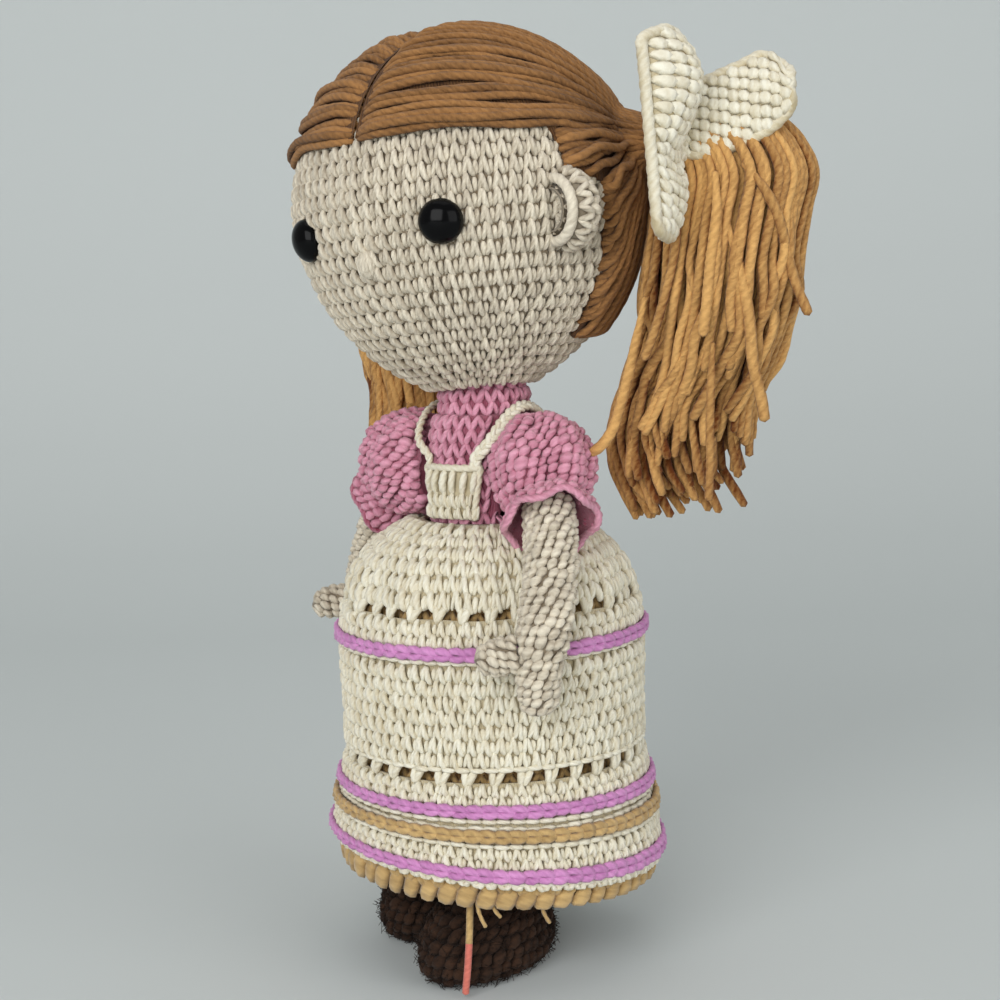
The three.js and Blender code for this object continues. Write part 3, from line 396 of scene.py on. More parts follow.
# %% Turned forms and limbs as rules
class Turned:
    """An outline of radius and height turned round the upright axis. Angle 0 faces forward."""

    def __init__(self, radius, height, settle=None):
        self.r, self.z = np.asarray(radius, float), np.asarray(height, float)
        dr, dz = np.gradient(self.r), np.gradient(self.z)
        size = np.hypot(dr, dz)
        self.nr, self.nz = dz / size, -dr / size
        self.way = np.concatenate([[0], np.cumsum(np.hypot(np.diff(self.r), np.diff(self.z)))])
        self.length = self.way[-1]
        self.settle = settle

    def radius(self, way):
        return np.interp(way, self.way, self.r)

    def way_at(self, height):
        return float(np.interp(height, self.z, self.way))

    def __call__(self, turn, way, lift):
        turn, way, lift = np.broadcast_arrays(turn, way, lift)
        r = self.radius(way) + lift * np.interp(way, self.way, self.nr)
        z = np.interp(way, self.way, self.z) + lift * np.interp(way, self.way, self.nz)
        points = np.stack([r * np.sin(turn), -r * np.cos(turn), z], -1)
        return points if self.settle is None else self.settle(points)


class Limb:
    """A round limb along a line of places. Radii are pairs of share along it and radius."""

    def __init__(self, places, radii, settle=None, count=160):
        self.line = line_through(places, count)
        steps = np.linalg.norm(np.diff(self.line, axis=0), axis=1)
        self.way = np.concatenate([[0], np.cumsum(steps)])
        self.length = self.way[-1]
        self.r = smooth_at(radii, self.way / self.length)
        along = unit(np.gradient(self.line, axis=0))
        self.across = unit(np.cross([0, 1, 0], along))
        self.up = np.cross(along, self.across)
        self.along = along
        self.settle = settle

    def radius(self, way):
        return np.interp(way, self.way, self.r)

    def __call__(self, turn, way, lift):
        turn, way, lift = np.broadcast_arrays(turn, way, lift)
        mix = lambda values: np.stack([np.interp(way, self.way, values[:, k]) for k in range(3)], -1)
        beyond = np.clip(way - self.length, 0, None)[..., None] * self.along[-1]
        r = np.maximum(self.radius(way) + lift, 0.05)[..., None]
        points = (mix(self.line) + beyond + mix(self.across) * (r * np.cos(turn)[..., None])
                  + mix(self.up) * (r * np.sin(turn)[..., None]))
        return points if self.settle is None else self.settle(points)


ball = Turned(10 * np.cos(np.linspace(-1.57, 1.57, 60)), 10 * np.sin(np.linspace(-1.57, 1.57, 60)))
print("up a ball of radius 10 it is", round(ball.length, 1), "mm from pole to pole")

# %% [markdown]
# ## Stitches
# Seen from outside, a single crochet is a V of two plump legs. The legs come up out of the
# stitch below, swell, lean apart, and dive under the next row. A taller stitch is the same with
# a long post. Each is drawn once as a few places, in shares of its width and height and in
# millimetres of lift, and every copy is nudged a little, because no hand is that even.


# %% Stitches drawn once
RINGS = 7


def leg(places, wide, thick):
    line = line_through(places, RINGS)
    share = np.linspace(0, 1, RINGS)
    return line, np.interp(share, np.linspace(0, 1, len(wide)), wide), np.interp(
        share, np.linspace(0, 1, len(thick)), thick)


def mirrored(one):
    line, wide, thick = one
    return [one, (line * [-1, 1, 1], wide, thick)]


VEE = mirrored(leg([(0.06, -0.1, -0.8), (0.1, 0.1, 0.25), (0.22, 0.35, 0.75), (0.36, 0.66, 0.55),
                    (0.47, 0.98, -0.4)],
                   (0.13, 0.21, 0.25, 0.24, 0.2, 0.12), (0.7, 1.1, 1.35, 1.3, 1.0, 0.5)))
TIGHT = [  # pulled tight round a filling: two steep legs with a small lump sunk between them
    leg([(-0.16, -0.2, -0.6), (-0.3, 0.06, 0.6), (-0.38, 0.36, 1.05), (-0.43, 0.66, 1.0),
         (-0.46, 0.95, 0.0)],
        (0.15, 0.2, 0.21, 0.2, 0.18, 0.12), (0.7, 1.1, 1.3, 1.3, 1.0, 0.5)),
    leg([(0.26, -0.1, -0.6), (0.33, 0.12, 0.35), (0.4, 0.4, 0.8), (0.46, 0.7, 0.75),
         (0.5, 0.94, -0.2)],
        (0.12, 0.16, 0.18, 0.17, 0.15, 0.1), (0.6, 0.9, 1.1, 1.1, 0.9, 0.5)),
    leg([(0.02, -0.12, -0.7), (0.02, 0.1, -0.1), (0.02, 0.34, 0.25), (0.02, 0.54, 0.1),
         (0.02, 0.66, -0.8)],
        (0.12, 0.2, 0.22, 0.18, 0.1), (0.6, 0.9, 1.0, 0.8, 0.4)),
]
POST = [  # a taller stitch: a long leg, and a thinner one sunk beside it
    leg([(-0.16, -0.1, -0.9), (-0.12, 0.15, 0.3), (-0.02, 0.5, 0.8), (0.1, 0.85, 0.4),
         (0.16, 1.05, -0.8)],
        (0.17, 0.25, 0.31, 0.33, 0.27, 0.14), (0.6, 1.1, 1.3, 1.3, 1.0, 0.5)),
    leg([(0.3, -0.02, -0.9), (0.3, 0.2, 0.0), (0.32, 0.5, 0.2), (0.38, 0.8, 0.0), (0.4, 1.0, -0.8)],
        (0.1, 0.16, 0.19, 0.19, 0.16, 0.1), (0.6, 0.9, 1.0, 1.0, 0.8, 0.5)),
]
SLANT = [  # one fat slanting loop, for a scalloped edge
    leg([(-0.3, -0.06, -0.8), (-0.2, 0.15, 0.4), (0.0, 0.5, 0.9), (0.2, 0.85, 0.4),
         (0.3, 1.06, -0.8)],
        (0.2, 0.32, 0.38, 0.38, 0.32, 0.2), (0.6, 1.1, 1.3, 1.3, 1.0, 0.5)),
]
CHAIN = [  # one link lies along the row: an upper and a lower lobe that close like a plait
    leg([(-0.62, 0.1 * side, -0.5), (-0.32, 0.3 * side, 0.45), (0.04, 0.32 * side, 0.8),
         (0.38, 0.16 * side, 0.6), (0.62, -0.04 * side, -0.4)],
        (0.13, 0.22, 0.26, 0.23, 0.13), (0.6, 1.1, 1.25, 1.0, 0.5))
    for side in (1, -1)
]
LUMP = [  # a short plump loop end, as on the tight side of a fabric
    leg([(-0.34, 0.0, -0.7), (-0.16, 0.3, 0.35), (0.04, 0.5, 0.6), (0.22, 0.72, 0.25),
         (0.32, 0.95, -0.7)],
        (0.24, 0.38, 0.44, 0.38, 0.24), (0.7, 1.2, 1.35, 1.1, 0.6)),
]
DASH = [  # a short length of yarn that lies along the row
    leg([(-0.5, 0, -0.7), (-0.3, 0.02, 0.3), (0.0, 0.06, 0.6), (0.3, 0.02, 0.3), (0.5, 0, -0.7)],
        (0.1, 0.18, 0.21, 0.18, 0.1), (0.5, 0.8, 0.9, 0.8, 0.5)),
]


def crochet(fabric, form, stitch, turns, ways, width, height, angle_per_mm, lift=0.0, lean=0.0,
            plump=1.0, loose=1.0):
    """Lays copies of a stitch on a form. Widths and heights are millimetres, turns are radians.
    A loose hand makes them less even."""
    turns, ways = np.ravel(turns), np.ravel(ways)
    n = len(turns)
    if n == 0:
        return
    random = fabric.random
    height, width = np.broadcast_to(height, n), np.broadcast_to(width, n)

    def uneven(amount, about=0):
        return random.normal(about, amount, (n, 1))

    for line, wide, thick in stitch:
        size = uneven(0.04 + 0.02 * loose, 1)
        across = line[:, 0] * width[:, None] * uneven(0.05, 1) + uneven(0.09 * loose)
        up = line[:, 1] * height[:, None] * uneven(0.025 * loose, 1) + uneven(0.09 * loose)
        across = across + up * (lean + uneven(0.03 * loose))
        out = np.broadcast_to(line[:, 2], (n, RINGS)) + lift + uneven(0.08 * loose)
        paths = np.stack([across, up, out], -1)

        def place(points, turns=turns, ways=ways):
            return form(turns[:, None] + points[..., 0] * np.ravel(angle_per_mm)[:, None],
                        ways[:, None] + points[..., 1], points[..., 2])

        fabric.rods(paths, wide * width[:, None] * plump * size, thick * plump * size, [0, 0, 1],
                    sides=6, place=place, start=random.uniform(0, 9, (n, 1)))


def rounds(fabric, form, start, end, width=4.4, height=4.6, stitch=VEE, keep=None, drift=0.37,
           **how):
    """Rounds of one stitch from one way to another, each round with as many stitches as fit.
    Keep says which places get a stitch, and drift how far each round runs on from the last."""
    count = max(round((end - start) / height), 1)
    step = (end - start) / count
    made = 0
    for row in range(count):
        way = start + row * step
        n = max(round(2 * np.pi * form.radius(way + step / 2) / width), 3)
        turns = ((np.arange(n) + 0.5 + drift * row) / n * 2 * np.pi + np.pi) % (2 * np.pi) - np.pi
        if keep is not None:
            turns = turns[keep(turns, way + step / 2)]
        pitch = 2 * np.pi * form.radius(way + step / 2) / n
        crochet(fabric, form, stitch, turns, np.full(len(turns), way), pitch, step,
                np.full(len(turns), 2 * np.pi / n / pitch), **how)
        made += len(turns)
    return made


def backing(fabric, form, start, end, lift=-0.7, depth=1.4, columns=96, rows=40):
    """The body of the fabric under its stitches: a thin closed wall, so no gap is see-through."""
    turns = np.linspace(-np.pi, np.pi, columns, endpoint=False)
    ways = np.linspace(start, end, rows)
    outer = form(turns[None], ways[:, None], lift)
    inner = form(turns[None], ways[::-1, None], lift - depth)
    # The wall keeps deep at 0, the yarn's darkest tone: painted shade seen in the gaps between the
    # stitches.
    fabric.sheet(np.concatenate([outer, inner]))


print("a V has", len(VEE), "legs of", RINGS, "rings")

# %% [markdown]
# ## Head
# The head is worked in rounds from the neck to the crown, pulled tight over the filling: an
# egg with its blunt end up. It leans a little to the doll's right, as it does on the shelf. The
# rounds under the hair are left out, since the hair is sewn over them and nobody sees them.

# %% The head's form
CHIN_RISE, HEAD_HEIGHT, HEAD_RADIUS, WIDEST = 4.4, 114.6, 56, 0.525
NECK = np.array([0, 0, 187.0])
CHEEK = [(0, 0.275), (0.032, 0.35), (0.065, 0.465), (0.11, 0.585), (0.17, 0.705),
         (0.24, 0.815), (0.32, 0.9), (0.42, 0.965), (0.525, 1)]


def turned_about(axis, degrees):
    a, (x, y, z) = math.radians(degrees), axis
    cross = np.array([[0, -z, y], [z, 0, -x], [-y, x, 0]])
    return np.eye(3) + math.sin(a) * cross + (1 - math.cos(a)) * cross @ cross


HEAD_TURN = turned_about((0, 1, 0), -4.3) @ turned_about((0, 0, 1), -1)


def on_neck(points):
    return points @ HEAD_TURN.T + NECK


def egg(share):
    above = np.sqrt(np.clip(1 - ((share - WIDEST) / (1 - WIDEST)) ** 2, 0, None))
    return np.where(share <= WIDEST, smooth_at(CHEEK, np.minimum(share, WIDEST)), above)


egg_shares = np.concatenate([np.linspace(0, WIDEST, 80), WIDEST + (1 - WIDEST) * np.sin(
    np.linspace(0, np.pi / 2, 80))[1:]])
scalp = Turned(HEAD_RADIUS * egg(egg_shares), CHIN_RISE + HEAD_HEIGHT * egg_shares)
head_form = Turned(scalp.r, scalp.z, on_neck)
print("round the head:", round(2 * math.pi * HEAD_RADIUS), "mm, up it:", round(head_form.length),
      "mm")

# %% Head in single crochet
HAIRLINE, NAPE = 85, 20


def bare_skin(turns, way):
    """Where the head isn't covered: below the hairline in front, and the strip under the nape."""
    height = np.interp(way, head_form.way, head_form.z)
    return (height < NAPE + 6) | ((height < HAIRLINE + 8) & (np.abs(turns) < math.radians(118)))


head = Fabric(2)
backing(head, head_form, 3, head_form.length - 0.5, columns=96, rows=60)
count = rounds(head, head_form, 3, head_form.length - 1, 4.7, 5.0, TIGHT, bare_skin, 0.06,
               lift=-0.35)
head = head.piece("head_knit", "head", BEIGE, "beige", "head_skin")
print("the head shows", count, "stitches")

# %% [markdown]
# ## Face
# The eyes are glass-smooth safety eyes: a turned dome with a fine rim. They are made again here
# with more sides than the solids have, because the highlight on a polished dome shows every
# facet. The nose is a plump knob: nine lengths of the same yarn fanned over a small ball and
# drawn together above and below.

# %% Finishes that aren't yarn
def plain_finish(name, light, dark, roughness, shine=0.3, scale=300.0, relief=0.05):
    """Two close colours in fine spots, which also make it rougher here and smoother there."""
    mat = bpy.data.materials.new(name)
    mat.use_nodes = True
    nodes, links = mat.node_tree.nodes, mat.node_tree.links
    shader = nodes["Principled BSDF"]
    shader.inputs["Specular IOR Level"].default_value = shine
    where = nodes.new("ShaderNodeTexCoord")
    spots = nodes.new("ShaderNodeTexNoise")
    spots.inputs["Scale"].default_value = scale
    spots.inputs["Detail"].default_value = 4
    links.new(where.outputs["Object"], spots.inputs["Vector"])
    mix = nodes.new("ShaderNodeMix")
    mix.data_type = "RGBA"
    mix.inputs["A"].default_value, mix.inputs["B"].default_value = dark, light
    links.new(spots.outputs["Fac"], mix.inputs["Factor"])
    links.new(mix.outputs["Result"], shader.inputs["Base Color"])
    rough = nodes.new("ShaderNodeMapRange")
    rough.inputs["To Min"].default_value = roughness * 0.8
    rough.inputs["To Max"].default_value = roughness * 1.2
    links.new(spots.outputs["Fac"], rough.inputs["Value"])
    links.new(rough.outputs["Result"], shader.inputs["Roughness"])
    bump = nodes.new("ShaderNodeBump")
    bump.inputs["Strength"].default_value = relief
    bump.inputs["Distance"].default_value = 0.0004
    links.new(spots.outputs["Fac"], bump.inputs["Height"])
    links.new(bump.outputs[0], shader.inputs["Normal"])
    return mat


BLACK = plain_finish("polished_black", colour(9, 9, 10), colour(3, 3, 4), 0.15, shine=0.12,
                     scale=500, relief=0.02)
NYLON = plain_finish("moulded_nylon", colour(232, 232, 228), colour(214, 214, 208), 0.4)
WADDING = plain_finish("wadding", colour(246, 244, 240), colour(214, 211, 204), 0.95, scale=160,
                       relief=0.9)
for node, finish in (("head_wadding", WADDING), ("body_wadding", WADDING),
                     ("left_eye_washer", NYLON), ("right_eye_washer", NYLON)):
    frame["nodes"][node].data.materials.clear()
    frame["nodes"][node].data.materials.append(finish)
print("other finishes:", BLACK.name, NYLON.name, WADDING.name)

# %% Eyes
EYE_RADIUS, EYE_BULGE, EYE_RISE, EYE_ANGLE = 7, 5.6, 57.4, math.radians(29)
POST_RADIUS, POST_LENGTH, TOUCH, EYE_RIM = 1.8, 8, 0.3, 0.5
dome = [(max(EYE_RADIUS * math.cos(a), 0.01), EYE_RIM + (EYE_BULGE - EYE_RIM) * math.sin(a))
        for a in np.linspace(0, np.pi / 2, 24)]
eye_outline = np.array([  # radius and height: up the post, out under the rim, and over the dome
    (0.01, -POST_LENGTH), (POST_RADIUS, -POST_LENGTH + 0.2), (POST_RADIUS, -0.4),
    (EYE_RADIUS - 0.6, -0.25), (EYE_RADIUS - 0.1, 0.1), *dome])


def against(side, points, angle, rise, stand):
    """Points with Z outwards, set squarely on the head's surface at an angle and a rise."""
    way = scalp.way_at(rise)
    middle = scalp(side * angle, way, stand)
    out = unit(scalp(side * angle, way, 1.0) - scalp(side * angle, way, 0.0))
    over = np.array([math.cos(angle), side * math.sin(angle), 0.0])
    return on_neck(middle + points @ np.stack([over, np.cross(out, over), out]))


for name, side in (("left", 1), ("right", -1)):
    turns = np.linspace(0, 2 * np.pi, 48, endpoint=False)
    radius, height = eye_outline[:, :1], eye_outline[:, 1:]
    ring = np.stack([radius * np.cos(turns), radius * np.sin(turns), height + 0 * turns], -1)
    eye = Fabric(3)
    eye.sheet(against(side, ring, EYE_ANGLE, EYE_RISE, TOUCH), deep=1, back=False)
    eye.piece(f"{name}_eye_dome", "head", BLACK, "black", f"{name}_eye")

# %% Nose
NOSE_RISE, NOSE_HALF, NOSE_DEPTH, NOSE_SINK = 46.5, 3.6, 3.0, 0.5
nose = Fabric(4)
wraps = []
for fan in np.linspace(-78, 78, 9):
    along = np.linspace(-0.97, 0.97, 14) * np.pi / 2
    beside = NOSE_HALF * np.cos(along) * math.sin(math.radians(fan))
    up = NOSE_RISE + 0.4 + NOSE_HALF * np.sin(along) + 0.25 * beside
    stand = NOSE_DEPTH * np.cos(along) * math.cos(math.radians(fan)) - NOSE_SINK
    wraps.append(scalp(beside / HEAD_RADIUS, np.interp(up, scalp.z, scalp.way), stand))
nose.rods(on_neck(np.array(wraps)), 0.95, 0.8, [0, -1, 0], sides=10, plies=2, lay=2.6)
nose.piece("nose_wraps", "head", BEIGE, "beige", "nose")

# %% [markdown]
# ## Ears
# Each ear is a little cup of a few rounds, folded and sewn on so that it opens forwards. The
# left one shows its rim and its hollow; the right one sits further back, behind the cheek.

# %% Ears
EAR_ANGLES = {"left": math.radians(71), "right": math.radians(84)}
EAR_RISE, EAR_DEPTH, EAR_WIDTH, EAR_HEIGHT, EAR_RIM = 58, 12, 15, 24, 2.6
EAR_LENGTH, EAR_OPENS = 16.0, math.radians(124)


class EarCup:
    """An angle from the top of the ear, outwards and down, and a way from its back to its rim."""

    def __init__(self, side, angle, inner=False):
        self.side, self.angle, self.inner = side, angle, inner

    def __call__(self, turn, way, lift):
        turn, way, lift = np.broadcast_arrays(turn, way, lift)
        open_it = way / EAR_LENGTH * EAR_OPENS
        deep, wide, tall, back = EAR_DEPTH, EAR_WIDTH / 2, EAR_HEIGHT / 2, 0.0
        if self.inner:
            deep, wide, tall, back = deep - EAR_RIM, wide - EAR_RIM, tall - EAR_RIM, 2 * EAR_RIM
            lift = -lift
        y = (wide + lift) * np.cos(open_it) - back
        x = (deep + lift) * np.sin(open_it) * np.sin(turn)
        z = (tall + lift) * np.sin(open_it) * np.cos(turn)
        a = self.angle - math.pi / 2
        reach = HEAD_RADIUS * float(egg(np.array((EAR_RISE - CHIN_RISE) / HEAD_HEIGHT)))
        px = x * math.cos(a) - y * math.sin(a) + math.sin(self.angle) * reach
        py = x * math.sin(a) + y * math.cos(a) - math.cos(self.angle) * reach
        return on_neck(np.stack([self.side * px, py, z + EAR_RISE], -1))


def ear_rows(fabric, form, rows, radius, lift):
    """Rows round half an ear, each given by its way and by how many stitches it has."""
    for way, n in rows:
        at = (np.arange(n) + 0.5) / n * np.pi
        size = np.pi * radius * math.sin((way + 2) / EAR_LENGTH * EAR_OPENS) / n
        crochet(fabric, form, VEE, at, np.full(n, way), size, 4.4, np.full(n, np.pi / n / size),
                lift=lift)


for name, side in (("left", 1), ("right", -1)):
    ear = Fabric(5 + (side < 0))
    cup = EarCup(side, EAR_ANGLES[name])
    bowl = EarCup(side, EAR_ANGLES[name], inner=True)
    turns = np.linspace(-0.25, np.pi + 0.25, 40)
    outside = cup(turns[None], np.linspace(1, 15.4, 14)[:, None], -0.7)
    inside = bowl(turns[None], np.linspace(15.4, 1, 14)[:, None], 2.2)
    wall = np.concatenate([outside, inside])
    # The wall under the ear's stitches is near the yarn's darkest tone: painted shade in the hollow
    # and between the stitches.
    ear.sheet(wall if side > 0 else wall[:, ::-1], closed=False, deep=0.1)
    ear_rows(ear, cup, ((2.2, 3), (6.4, 6), (10.6, 8)), EAR_HEIGHT / 2, -0.4)
    ear_rows(ear, bowl, ((2.0, 3), (5.6, 5), (9.2, 6)), EAR_HEIGHT / 2 - EAR_RIM - 2.4, 2.4)
    rim_turns = np.linspace(-0.1, np.pi + 0.1, 30)
    rim = (cup(rim_turns, 15.2, -0.6) + bowl(rim_turns, 13.6, -0.2)) / 2
    ear.rods(rim[None], 1.7, 1.7, [0.3 * side, -0.9, 0.1], sides=10, plies=3, lay=3.2, ridge=0.1)
    ear.piece(f"{name}_ear_cup", "head", BEIGE, "beige", f"{name}_ear")

# %% [markdown]
# ## Hair
# The hair is yarn sewn on at the parting, along the nape and by the ears, and each length is
# drawn tight over the head to one of two ties. So a strand starts as the shortest way over the
# scalp, from its root to the tie. The front ones are held lower, because they frame the face,
# and all of them waver a little. Under them lies a thin coat of the same yarn at its darkest
# tone. This is painted shade, so that the gaps between strands look deep and no scalp shows.

# %% Where the ties are, and ways over the scalp
TIE_ANGLE, TIE_RISE = math.radians(110), 79
HAIR_THICKNESS, TIE_STANDOFF = 5.5, 3.5
SCALP_MIDDLE = np.array([0, 0, 66.0])
outward = np.array([math.sin(TIE_ANGLE), -math.cos(TIE_ANGLE), 0.0])
backward = np.cross([0, 0, 1], outward)
TIE_POINT = outward * (HEAD_RADIUS + HAIR_THICKNESS + TIE_STANDOFF) + [0, 0, TIE_RISE]
elevation = np.arctan2(scalp.z - SCALP_MIDDLE[2], scalp.r)


def on_scalp(directions, lift):
    """Where rays from the middle of the head meet its surface, lifted off it."""
    turn = np.arctan2(directions[..., 0], -directions[..., 1])
    up = np.arctan2(directions[..., 2], np.hypot(directions[..., 0], directions[..., 1]))
    return scalp(turn, np.interp(up, elevation, scalp.way), lift)


HEAD_POINTS = 56


def strand_over(start, lift):
    """A line from a root on the scalp over the head and into the tie's ring."""
    start = unit(np.asarray(start, float) - SCALP_MIDDLE)
    tie = unit(outward * HEAD_RADIUS + [0, 0, TIE_RISE] - SCALP_MIDDLE)
    offset = start - tie * (start @ tie)
    spoke = unit(offset)
    end = unit(tie * HEAD_RADIUS + spoke * 11)
    angle = math.acos(np.clip(start @ end, -1, 1))
    share = np.linspace(0, 1, 14)[:, None]
    rays = (np.sin((1 - share) * angle) * start + np.sin(share * angle) * end) / math.sin(angle)
    rise = np.arcsin(rays[:, 2])
    straight = rise[0] + (rise[-1] - rise[0]) * share[:, 0]
    weight = np.clip(1 - (rise[0] - math.radians(19)) / math.radians(40), 0, 1) ** 2
    weight = weight * (start[1] < 0)
    rise = rise - weight * (rise - straight)
    flat = unit(rays[:, :2])
    rays = np.stack([flat[:, 0] * np.cos(rise), flat[:, 1] * np.cos(rise), np.sin(rise)], 1)
    lifts = lift * np.clip(0.25 + share[:, 0] * 9, 0, 1)
    gather = spoke - outward * (spoke @ outward)
    places = [*on_scalp(rays, lifts)]
    for reach, ring in ((62.5, 8.4), (65.5, 6.6), (69, 6.2)):
        places.append(outward * reach + [0, 0, TIE_RISE] + gather * ring)
    return line_through(places, HEAD_POINTS)


print("the left tie stands", np.round(TIE_POINT, 1), "mm from the neck")

# %% Both halves of the hair
PARTING, ROOT_STEP = 1.2, 2.8
CROWN = scalp.length - 1.5
parting = [(PARTING, -scalp.radius(w), np.interp(w, scalp.way, scalp.z))
           for w in np.arange(scalp.way_at(HAIRLINE), CROWN, ROOT_STEP)]
parting += [(PARTING, scalp.radius(w), np.interp(w, scalp.way, scalp.z))
            for w in np.arange(CROWN, scalp.way_at(NAPE), -ROOT_STEP)]
nape_reach = scalp.radius(scalp.way_at(NAPE))
nape = [(nape_reach * math.sin(a), -nape_reach * math.cos(a), NAPE)
        for a in np.radians(np.linspace(176, 94, 24))]
edge = []
for height in np.arange(NAPE + 4, HAIRLINE - 1, 2.6):
    turn = np.interp(height, [NAPE, 66, 70, HAIRLINE], [1.6, 1.5, 1.24, 1.2])
    reach = scalp.radius(scalp.way_at(height))
    edge.append((reach * math.sin(turn), -reach * math.cos(turn), height))
roots = np.array(parting + nape + edge)
STRAND = 1.45
thin_at_tie = np.interp(np.linspace(0, 1, HEAD_POINTS), [0, 0.04, 0.72, 0.94, 1],
                        [0.75, 1, 1, 0.68, 0.64])

for name, side in (("left", 1), ("right", -1)):
    hair = Fabric(10 + side)
    paths = []
    for k, root in enumerate(roots):
        paths.append(strand_over(root, 2.7 + 0.8 * (k % 2) + hair.random.normal(0, 0.3)))
    for k in range(0, len(roots) - 1, 3):
        paths.append(strand_over((roots[k] + roots[k + 1]) / 2, 4.3 + hair.random.normal(0, 0.3)))
    paths = np.array(paths)
    count, along = len(paths), np.linspace(0, 1, HEAD_POINTS)
    waves = along * hair.random.uniform(1.2, 2.6, (count, 1))
    waver = np.sin(2 * np.pi * (waves + hair.random.uniform(0, 1, (count, 1))))
    waver = waver * hair.random.uniform(0.4, 1.7, (count, 1))
    waver = waver * np.sin(np.pi * np.clip(along / 0.85, 0, 1))
    beside = unit(np.cross(np.gradient(paths, axis=1), paths - SCALP_MIDDLE))
    paths = on_neck((paths + beside * waver[..., None]) * [side, 1, 1])
    hair.rods(paths, STRAND * thin_at_tie * hair.random.normal(1, 0.06, (count, 1)),
              0.85 * STRAND * thin_at_tie, unit(paths - on_neck(SCALP_MIDDLE)), plies=2, lay=5.5,
              ridge=0.06, start=hair.random.uniform(0, 9, (count, 1)))
    turns = np.concatenate([np.linspace(0.01, 1.46, 24), np.linspace(1.5, 1.6, 6),
                            np.linspace(1.66, np.pi - 0.01, 22)])
    low = np.interp(turns, [1.18, 1.24, 1.5, 1.6],
                    [scalp.way_at(z) for z in (HAIRLINE, 70, 66, NAPE)])
    share = np.linspace(0, 1, 30)[:, None]
    ways = low + (scalp.length - 0.5 - low) * share
    coat = np.concatenate([scalp(turns[None], ways, 1.9), scalp(turns[None], ways[::-1], 0.4)])
    coat = on_neck(coat * [side, 1, 1])
    # The coat is painted shade: the yarn near its darkest tone, seen in the gaps between strands.
    hair.sheet(coat if side > 0 else coat[:, ::-1], closed=False, deep=0.05)
    hair.piece(f"{name}_hair_strands", "head", DARKER_SHADED_HONEY, "honey", f"{name}_hair")
    print(name, "half:", count, "strands")

# %% [markdown]
# ## Pigtails
# Past its tie each bunch of yarn arches over and falls. Yarn hair is heavy and smooth, so the
# lengths hang side by side like a curtain, fan out a little, and end where the scissors cut them.
# Every strand keeps its place in the bunch from the tie to its end, so that hardly any cross.

# %% The pigtails' envelope and one strand in it
STRAND_POINTS = 64
PIGTAIL_WIDTH, PIGTAIL_DEPTH = 62, 44
PIGTAIL_DROPS = {"left": 119, "right": 106}
PIGTAILS = {  # shares of the drop, of the width for middle and half width, then of the depth
    "left": np.array([
        (-0.03, 0.37, 0.12, 0, 0.12), (-0.018, 0.37, 0.26, 0, 0.24), (0.03, 0.4, 0.38, 0, 0.34),
        (0.15, 0.385, 0.42, 0, 0.42), (0.35, 0.3, 0.41, 0, 0.46), (0.55, 0.18, 0.38, 0.1, 0.44),
        (0.75, 0.02, 0.42, 0.22, 0.38), (0.9, -0.07, 0.34, 0.25, 0.3), (1, -0.14, 0.18, 0.25, 0.14)]),
    "right": np.array([
        (-0.03, 0.28, 0.1, 0.02, 0.12), (-0.018, 0.27, 0.18, 0.03, 0.24),
        (0.03, 0.24, 0.24, 0.06, 0.33),
        (0.15, 0.17, 0.26, 0.13, 0.38), (0.35, 0.1, 0.3, 0.23, 0.4), (0.55, 0.07, 0.33, 0.29, 0.41),
        (0.75, 0.08, 0.36, 0.3, 0.42), (0.9, 0.1, 0.35, 0.3, 0.36), (1, 0.1, 0.25, 0.3, 0.2)]),
}


def envelope(name, share):
    """The bunch's middle and half size across, then front to back, at a share of its drop."""
    middle, half, back, deep = (smooth_at(PIGTAILS[name][:, [0, k]], share) for k in (1, 2, 3, 4))
    return PIGTAIL_WIDTH * middle, PIGTAIL_WIDTH * half, PIGTAIL_DEPTH * back, PIGTAIL_DEPTH * deep


def hanging_strand(name, out, turn, random):
    """One length of hair at a share out from the middle of the bunch and an angle round it."""
    drop = PIGTAIL_DROPS[name]
    c, s = out * math.cos(turn), out * math.sin(turn)
    y0, z0 = 7 * s, 6.5 * c
    middle, half, back, deep = envelope(name, 0.12)
    xe, ye = middle + half * c, back + deep * s
    top = 0.2 * xe - 7.5
    places = [(-2.5, y0, z0), (1.5, y0, z0),
              (0.4 * xe + 1, y0 + 0.45 * (ye - y0), (z0 + top) / 2 + 1),
              (0.8 * xe, y0 + 0.8 * (ye - y0), top - 0.5), (xe, ye, -0.12 * drop)]
    middle, half, back, deep = envelope(name, 0.35)
    inner, beside, y35 = middle - half, half * (1 + c), deep * s
    places.append((0.5 * (xe + inner + beside), 0.5 * (ye + back + y35), -0.23 * drop))
    shares = np.linspace(0.35, 1.0, 27)
    middle, half, back, deep = envelope(name, shares)
    room = 2 * half * np.sqrt(np.clip(1 - (0.8 * y35 / deep) ** 2, 0, 1))
    fits = shares[beside * 0.92 <= room]
    end = fits[-1] if len(fits) else 0.5
    end = end + random.normal(0, 0.03) - max(random.normal(-0.05, 0.09), 0)
    end = min(max(end, 0.5), 1.02)
    sway, swing = random.normal(0, 1.1, 8), random.normal(0, 1.0, 8)
    for k, share in enumerate([*np.arange(0.35, end - 0.05, 0.09), end]):
        middle, half, back, deep = envelope(name, share)
        near = 1 - 0.1 * (share - 0.35)
        places.append((middle - half + beside * near + sway[k],
                       back + y35 * (1 - 0.3 * (share - 0.35)) + swing[k], -share * drop))
    return line_through(places, STRAND_POINTS)


def in_bunch(points, side):
    """From the left bunch's own frame, with X away from the head, into place on either side."""
    across = np.stack([outward, backward, [0, 0, 1]])
    return on_neck((points @ across + TIE_POINT) * [side, 1, 1])


print("below its tie a bunch hangs, in mm:", PIGTAIL_DROPS)

